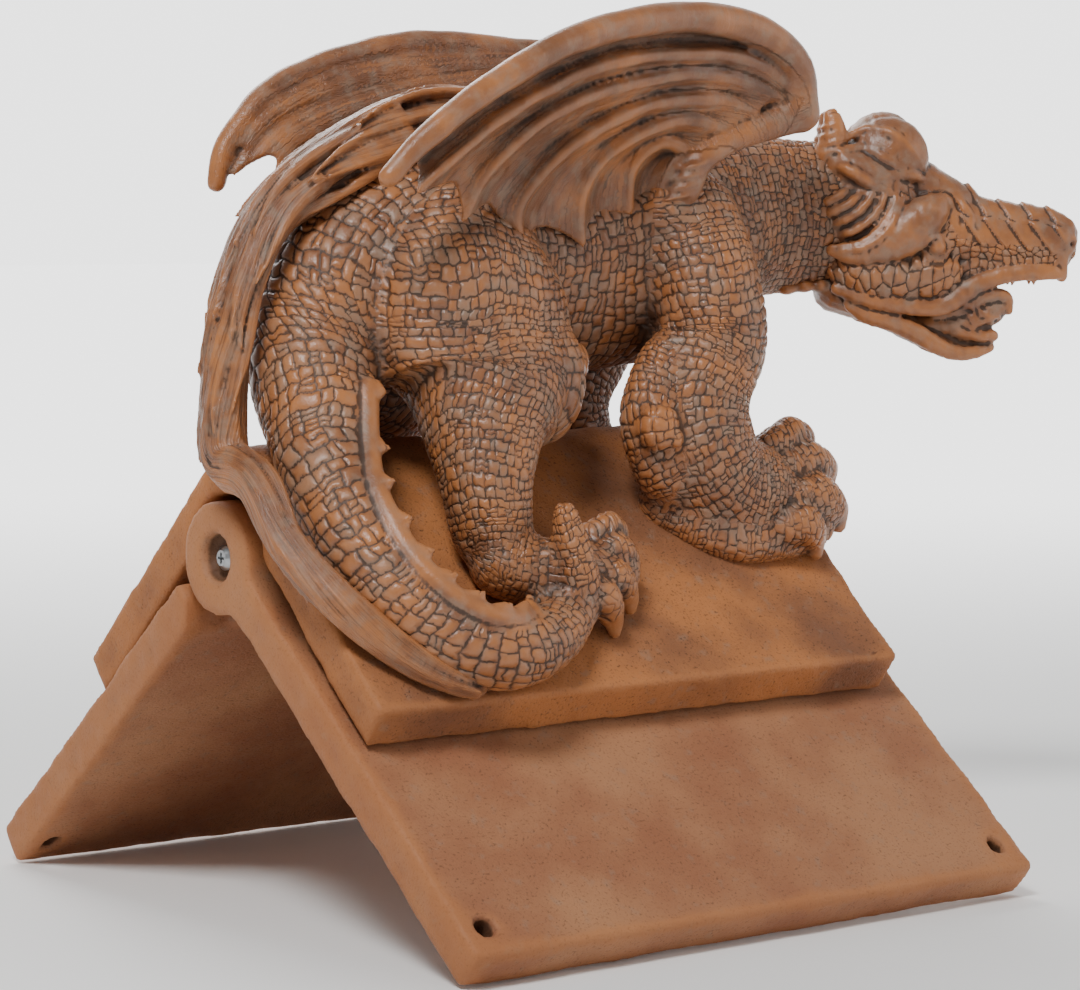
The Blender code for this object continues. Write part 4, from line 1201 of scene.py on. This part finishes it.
def cast_resin(name, colours, strokes=False, plates=False):
    """Cast polyester resin, painted terracotta, washed with umber and rubbed back on the high spots.

    The eye sees an eggshell sheen, dark lines in every groove, painted shade in the broad and deep hollows
    and orange on the worn edges.
    """
    material = bpy.data.materials.new(name)
    material.use_nodes = True
    tree = material.node_tree
    shader = tree.nodes["Principled BSDF"]
    shader.inputs["IOR"].default_value = 1.5
    shader.inputs["Specular IOR Level"].default_value = 0.5

    def math_node(operation, *values, clamp=False):
        inputs = {i: value for i, value in enumerate(values)}
        return add(tree, "ShaderNodeMath", inputs, operation=operation, use_clamp=clamp).outputs[0]

    def ramp(value, low, high, to_low=0.0, to_high=1.0):
        node = add(tree, "ShaderNodeMapRange", {"Value": value, "From Min": low, "From Max": high,
                                                "To Min": to_low, "To Max": to_high},
                   interpolation_type="SMOOTHSTEP")
        return node.outputs["Result"]

    def blend(factor, one, two, kind="MIX"):
        node = add(tree, "ShaderNodeMix", {0: factor, 6: one, 7: two}, data_type="RGBA", blend_type=kind)
        return node.outputs[2]

    def noise(scale_mm, detail=3.0, place=None, roughness=0.55):
        vector = place or add(tree, "ShaderNodeTexCoord").outputs["Object"]
        scale = 1 / (scale_mm * MM) if place is None else 1 / scale_mm
        return add(tree, "ShaderNodeTexNoise",
                   {"Vector": vector, "Scale": scale, "Detail": detail, "Roughness": roughness})

    wash_and_shade = add(tree, "ShaderNodeAttribute", attribute_name="wash_and_shade")
    parts = add(tree, "ShaderNodeSeparateColor", {0: wash_and_shade.outputs["Color"]})
    fine, broad, tiles, deep = parts.outputs[0], parts.outputs[1], parts.outputs[2], wash_and_shade.outputs["Alpha"]

    patches = noise(34.0, 4.0).outputs["Fac"]
    mottle = noise(7.0, 5.0).outputs["Fac"]
    grit = noise(0.9, 3.0).outputs["Fac"]
    paints = (colours.clay, colours.worn, colours.umber, colours.grey_beige)
    clay, worn, umber, grey_beige = (tuple(paint) + (1.0,) for paint in paints)
    base = blend(ramp(patches, 0.44, 0.72), clay, worn)
    base = blend(ramp(mottle, 0.42, 0.70, 0.0, 0.55), base, grey_beige)
    height = ramp(grit, 0.2, 0.8)
    if strokes:
        lane = add(tree, "ShaderNodeAttribute", attribute_name="strokes").outputs["Vector"]
        drawn = add(tree, "ShaderNodeMapping", {"Vector": lane, "Scale": (0.035, 0.9, 1.0)}).outputs[0]
        hairs = add(tree, "ShaderNodeTexNoise", {"Vector": drawn, "Scale": 1.0, "Detail": 4.0}).outputs["Fac"]
        base = blend(ramp(hairs, 0.50, 0.30, 0.0, 0.5), base, umber)
        base = blend(ramp(hairs, 0.52, 0.72, 0.0, 0.6), base, worn)
        height = math_node("ADD", math_node("MULTIPLY", height, 0.25), ramp(hairs, 0.3, 0.7))
        groove = 0.0
    else:
        place = add(tree, "ShaderNodeUVMap", uv_map="scales").outputs["UV"]
        edge, tint = scale_cells(tree, place, plates)
        shade = add(tree, "ShaderNodeSeparateColor", {0: tint})
        base = blend(math_node("MULTIPLY", ramp(shade.outputs[0], 0.3, 1.0, 0.0, 0.55), tiles), base, worn)
        base = blend(math_node("MULTIPLY", ramp(shade.outputs[1], 0.5, 1.0, 0.0, 0.45), tiles), base, grey_beige)
        groove = math_node("MULTIPLY", ramp(edge, 0.07 if plates else 0.11, 0.015), tiles)
        crown = math_node("MULTIPLY", ramp(edge, 0.0, 0.22), tiles)
        height = math_node("ADD", math_node("MULTIPLY", height, 0.25), crown)
    high = ramp(broad, 0.56, 0.85, 0.0, 0.75)
    base = blend(high, base, worn)
    stain = ramp(noise(18.0, 3.0).outputs["Fac"], 0.35, 0.6, 0.55, 1.0)
    # Painted shade: broad and deep hollows go to umber, together with the umber left in the fine hollows and
    # scale grooves.
    hollow = math_node("MAXIMUM", ramp(fine, 0.42, 0.12, 0.0, 0.8), ramp(broad, 0.42, 0.12, 0.0, 0.85))
    hollow = math_node("MAXIMUM", hollow, ramp(deep, 0.44, 0.05, 0.0, 0.85))
    wiped = math_node("MULTIPLY", math_node("MULTIPLY", groove, 0.75), stain)
    dark = math_node("MAXIMUM", hollow, wiped, clamp=True)
    colour = blend(dark, base, umber)
    tree.links.new(colour, shader.inputs["Base Color"])
    rough = ramp(mottle, 0.3, 0.75, 0.28, 0.46)
    tree.links.new(math_node("ADD", rough, math_node("MULTIPLY", dark, 0.25), clamp=True),
                   shader.inputs["Roughness"])
    bump = add(tree, "ShaderNodeBump", {"Height": height, "Strength": 0.8, "Distance": 0.35 * MM})
    tree.links.new(bump.outputs[0], shader.inputs["Normal"])
    return material


def stone_resin(name, low, high, colours, pits=1.0):
    """Cast resin with a matt sprayed coat: flecked grey-beige, finely pitted, with painted shade in its broad
    hollows and orange wear on its rises.
    """
    material = bpy.data.materials.new(name)
    material.use_nodes = True
    tree = material.node_tree
    shader = tree.nodes["Principled BSDF"]
    shader.inputs["IOR"].default_value = 1.5
    shader.inputs["Specular IOR Level"].default_value = 0.3
    place = add(tree, "ShaderNodeTexCoord").outputs["Object"]

    def noise(scale_mm, detail):
        return add(tree, "ShaderNodeTexNoise", {"Vector": place, "Scale": 1 / (scale_mm * MM),
                                                "Detail": detail}).outputs["Fac"]

    def ramp(value, low_in, high_in, low_out=0.0, high_out=1.0):
        return add(tree, "ShaderNodeMapRange", {"Value": value, "From Min": low_in, "From Max": high_in,
                                                "To Min": low_out, "To Max": high_out},
                   interpolation_type="SMOOTHSTEP").outputs["Result"]

    def blend(factor, one, two):
        return add(tree, "ShaderNodeMix", {0: factor, 6: one, 7: two}, data_type="RGBA").outputs[2]

    wash_and_shade = add(tree, "ShaderNodeAttribute", attribute_name="wash_and_shade")
    parts = add(tree, "ShaderNodeSeparateColor", {0: wash_and_shade.outputs["Color"]})
    cloud, fleck, grit = noise(60.0, 5.0), noise(6.0, 6.0), noise(1.1, 3.0)
    umber = tuple(colours.umber) + (1.0,)
    base = blend(ramp(cloud, 0.35, 0.68), low, high)
    base = blend(ramp(fleck, 0.55, 0.75, 0.0, 0.35), base, tuple(colours.grey_beige) + (1.0,))
    base = blend(ramp(grit, 0.46, 0.25, 0.0, 0.5 * pits), base, umber)
    # Painted shade: the broad hollows go to umber.
    base = blend(ramp(parts.outputs[1], 0.40, 0.1, 0.0, 0.7), base, umber)
    base = blend(ramp(parts.outputs[1], 0.6, 0.95, 0.0, 0.5), base, tuple(colours.worn) + (1.0,))
    tree.links.new(base, shader.inputs["Base Color"])
    tree.links.new(ramp(fleck, 0.3, 0.7, 0.55, 0.72), shader.inputs["Roughness"])
    bump = add(tree, "ShaderNodeBump", {"Height": grit, "Strength": 0.9, "Distance": 0.35 * pits * MM})
    tree.links.new(bump.outputs[0], shader.inputs["Normal"])
    return material


def zinc_plate(colours):
    """Steel screw with bright zinc plate: pale grey with a soft, slightly streaked shine."""
    material = bpy.data.materials.new("Bright zinc plate")
    material.use_nodes = True
    tree = material.node_tree
    shader = tree.nodes["Principled BSDF"]
    shader.inputs["Metallic"].default_value = 1.0
    place = add(tree, "ShaderNodeTexCoord").outputs["Object"]
    streaks = add(tree, "ShaderNodeTexNoise", {"Vector": place, "Scale": 1 / (1.5 * MM), "Detail": 4.0})
    zinc = tuple(colours.zinc) + (1.0,)
    worn = tuple(c * 0.7 for c in colours.zinc) + (1.0,)
    tone = add(tree, "ShaderNodeMix", {0: streaks.outputs["Fac"], 6: zinc, 7: worn}, data_type="RGBA")
    tree.links.new(tone.outputs[2], shader.inputs["Base Color"])
    rough = add(tree, "ShaderNodeMapRange", {"Value": streaks.outputs["Fac"], "To Min": 0.22, "To Max": 0.42})
    tree.links.new(rough.outputs["Result"], shader.inputs["Roughness"])
    return material


def studio_floor(colours):
    """Matt seamless paper whose colour gives way to a white glow with distance, so that it burns out to white
    beyond the sculpture.
    """
    material = bpy.data.materials.new("Seamless paper")
    material.use_nodes = True
    tree = material.node_tree
    shader = tree.nodes["Principled BSDF"]
    place = add(tree, "ShaderNodeTexCoord").outputs["Object"]
    beyond = add(tree, "ShaderNodeVectorMath", {0: place, 1: AWAY_FROM_CAMERA}, operation="DOT_PRODUCT")
    far = add(tree, "ShaderNodeMapRange",
              {"Value": beyond.outputs["Value"], "From Min": 0.25, "From Max": 2.2},
              interpolation_type="SMOOTHSTEP").outputs["Result"]
    paper = tuple(colours.floor) + (1.0,)
    tone = add(tree, "ShaderNodeMix", {0: far, 6: paper, 7: (0.0, 0.0, 0.0, 1.0)}, data_type="RGBA")
    tree.links.new(tone.outputs[2], shader.inputs["Base Color"])
    glow = add(tree, "ShaderNodeMath", {0: far, 1: BACKDROP_GLOW}, operation="MULTIPLY")
    tree.links.new(glow.outputs[0], shader.inputs["Emission Strength"])
    shader.inputs["Emission Color"].default_value = (1.0, 1.0, 1.0, 1.0)
    shader.inputs["Roughness"].default_value = 0.9
    return material


# Stage

CAMERA_AZIMUTH = math.radians(-38.5)
CAMERA_ELEVATION = math.radians(4.5)
CAMERA_TARGET = (21.0, 0.0, 171.5)
CAMERA_DISTANCE = 1.541
CAMERA_LENS = 115.0
# Level direction from the camera past the sculpture, and how bright the studio is that way and around
AWAY_FROM_CAMERA = (0.62, 0.78, 0.0)
BACKDROP_GLOW = 2.8
ROOM_GLOW = 0.3


def make_camera():
    ahead = Vector((math.sin(CAMERA_AZIMUTH) * math.cos(CAMERA_ELEVATION),
                    -math.cos(CAMERA_AZIMUTH) * math.cos(CAMERA_ELEVATION), math.sin(CAMERA_ELEVATION)))
    right = Vector((math.cos(CAMERA_AZIMUTH), math.sin(CAMERA_AZIMUTH), 0))
    data = bpy.data.cameras.new("Camera")
    data.sensor_width = 36.0
    data.lens = CAMERA_LENS
    camera = bpy.data.objects.new("Camera", data)
    bpy.context.scene.collection.objects.link(camera)
    place = Matrix((right, ahead.cross(right), ahead)).transposed().to_4x4()
    place.translation = PLACE @ Vector(CAMERA_TARGET) + ahead * CAMERA_DISTANCE
    camera.matrix_world = place
    bpy.context.scene.camera = camera


def make_light(name, place, size, power, colour=(1.0, 1.0, 1.0)):
    data = bpy.data.lights.new(name, "AREA")
    data.energy = power
    data.size = size
    data.color = colour
    lamp = bpy.data.objects.new(name, data)
    bpy.context.scene.collection.objects.link(lamp)
    lamp.location = place
    aim = Vector((PLATE_MIDDLE, 0, 0.18)) - Vector(place)
    lamp.rotation_euler = aim.to_track_quat("-Z", "Y").to_euler()


class SculptureOperator:
    """What every operator here shares: the sizes and colours of the scene."""
    bl_options = {"REGISTER", "UNDO"}

    def settings(self, context):
        return context.scene.dragon_sizes, context.scene.dragon_colours


class DRAGON_OT_body(SculptureOperator, bpy.types.Operator):
    """Makes the dragon's trunk, neck, tail, legs and paws"""
    bl_idname = "dragon.body"
    bl_label = "Dragon Body"

    def execute(self, context):
        sizes, colours = self.settings(context)
        make_body(sizes, cast_resin("Cast resin, antique wash", colours))
        return {"FINISHED"}


class DRAGON_OT_head(SculptureOperator, bpy.types.Operator):
    """Makes the dragon's head with its frills, brows, snout plates and tongue"""
    bl_idname = "dragon.head"
    bl_label = "Dragon Head"

    def execute(self, context):
        sizes, colours = self.settings(context)
        make_head(sizes, cast_resin("Cast resin, rubbed head", colours, plates=True))
        return {"FINISHED"}


class DRAGON_OT_mane(SculptureOperator, bpy.types.Operator):
    """Makes the crest of hair down the dragon's back"""
    bl_idname = "dragon.mane"
    bl_label = "Dragon Mane"

    def execute(self, context):
        _, colours = self.settings(context)
        make_mane(cast_resin("Cast resin, combed mane", colours, strokes=True))
        return {"FINISHED"}


class DRAGON_OT_wings(SculptureOperator, bpy.types.Operator):
    """Makes both wings"""
    bl_idname = "dragon.wings"
    bl_label = "Dragon Wings"

    def execute(self, context):
        sizes, colours = self.settings(context)
        resin = cast_resin("Cast resin, drawn wings", colours, strokes=True)
        make_wing("dragon_right_wing", -1, sizes, resin)
        make_wing("dragon_left_wing", 1, sizes, resin)
        return {"FINISHED"}


class DRAGON_OT_saddle(SculptureOperator, bpy.types.Operator):
    """Makes the two-slope saddle under the dragon"""
    bl_idname = "dragon.saddle"
    bl_label = "Saddle"

    def execute(self, context):
        _, colours = self.settings(context)
        low, high = tuple(colours.clay) + (1.0,), tuple(colours.worn) + (1.0,)
        make_saddle(stone_resin("Cast resin, rubbed saddle", low, high, colours, pits=1.3))
        return {"FINISHED"}


class DRAGON_OT_plates(SculptureOperator, bpy.types.Operator):
    """Makes the two hinged roof plates"""
    bl_idname = "dragon.plates"
    bl_label = "Roof Plates"

    def execute(self, context):
        _, colours = self.settings(context)
        low, high = tuple(colours.plate) + (1.0,), tuple(colours.plate_pale) + (1.0,)
        material = stone_resin("Cast resin, matt plate", low, high, colours)
        make_plate("right_roof_plate", "right_plate", material)
        make_plate("left_roof_plate", "left_plate", material)
        return {"FINISHED"}


class DRAGON_OT_screws(SculptureOperator, bpy.types.Operator):
    """Gives the pivot screws their zinc finish"""
    bl_idname = "dragon.screws"
    bl_label = "Pivot Screws"

    def execute(self, context):
        _, colours = self.settings(context)
        zinc = zinc_plate(colours)
        for node in ("pivot_screw_near", "pivot_screw_far"):
            mesh = frame["nodes"][node].data
            mesh.materials.clear()
            mesh.materials.append(zinc)
        return {"FINISHED"}


class DRAGON_OT_stage(SculptureOperator, bpy.types.Operator):
    """Makes the floor, the lights and the camera"""
    bl_idname = "dragon.stage"
    bl_label = "Studio Stage"

    def execute(self, context):
        sizes, colours = self.settings(context)
        bm = bmesh.new()
        bmesh.ops.create_grid(bm, x_segments=1, y_segments=1, size=sizes.floor_size / 2)
        floor = mesh_object("studio_floor", bm)
        floor.data.materials.append(studio_floor(colours))
        make_camera()
        make_light("key", (-1.2, -0.8, 1.9), 0.55, 38.0)
        make_light("fill", (1.5, -1.2, 0.8), 1.4, 8.0)
        make_light("rim", (0.3, 1.5, 1.5), 1.0, 22.0)
        world = bpy.data.worlds.new("Studio")
        world.use_nodes = True
        tree = world.node_tree
        view = add(tree, "ShaderNodeTexCoord").outputs["Generated"]
        toward = (*AWAY_FROM_CAMERA[:2], -0.1)
        facing = add(tree, "ShaderNodeVectorMath", {0: view, 1: toward}, operation="DOT_PRODUCT")
        glow = add(tree, "ShaderNodeMapRange",
                   {"Value": facing.outputs["Value"], "From Min": 0.6, "From Max": 0.93,
                    "To Min": ROOM_GLOW, "To Max": BACKDROP_GLOW}, interpolation_type="SMOOTHSTEP")
        tree.links.new(glow.outputs["Result"], tree.nodes["Background"].inputs["Strength"])
        tree.nodes["Background"].inputs["Color"].default_value = (1.0, 1.0, 1.0, 1.0)
        context.scene.world = world
        return {"FINISHED"}


class DRAGON_PT_panel(bpy.types.Panel):
    """Sizes, colours and pieces of the sculpture"""
    bl_idname = "DRAGON_PT_panel"
    bl_label = "Dragon Roof Sculpture"
    bl_space_type = "VIEW_3D"
    bl_region_type = "UI"
    bl_category = "Dragon"

    def draw(self, context):
        for group in (context.scene.dragon_sizes, context.scene.dragon_colours):
            box = self.layout.box()
            for name in group.__annotations__:
                box.prop(group, name)
        column = self.layout.column(align=True)
        for operator in PIECES:
            column.operator(operator.bl_idname)


PIECES = (DRAGON_OT_stage, DRAGON_OT_body, DRAGON_OT_head, DRAGON_OT_mane, DRAGON_OT_wings,
          DRAGON_OT_saddle, DRAGON_OT_plates, DRAGON_OT_screws)
CLASSES = (DragonSizes, DragonColours, *PIECES, DRAGON_PT_panel)


def register():
    for cls in CLASSES:
        bpy.utils.register_class(cls)
    bpy.types.Scene.dragon_sizes = PointerProperty(type=DragonSizes)
    bpy.types.Scene.dragon_colours = PointerProperty(type=DragonColours)


def unregister():
    del bpy.types.Scene.dragon_colours
    del bpy.types.Scene.dragon_sizes
    for cls in reversed(CLASSES):
        bpy.utils.unregister_class(cls)


def main():
    register()
    bpy.ops.dragon.stage()
    bpy.ops.dragon.body()
    bpy.ops.dragon.head()
    bpy.ops.dragon.mane()
    bpy.ops.dragon.wings()
    bpy.ops.dragon.saddle()
    bpy.ops.dragon.plates()
    bpy.ops.dragon.screws()


if __name__ == "__main__":
    main()
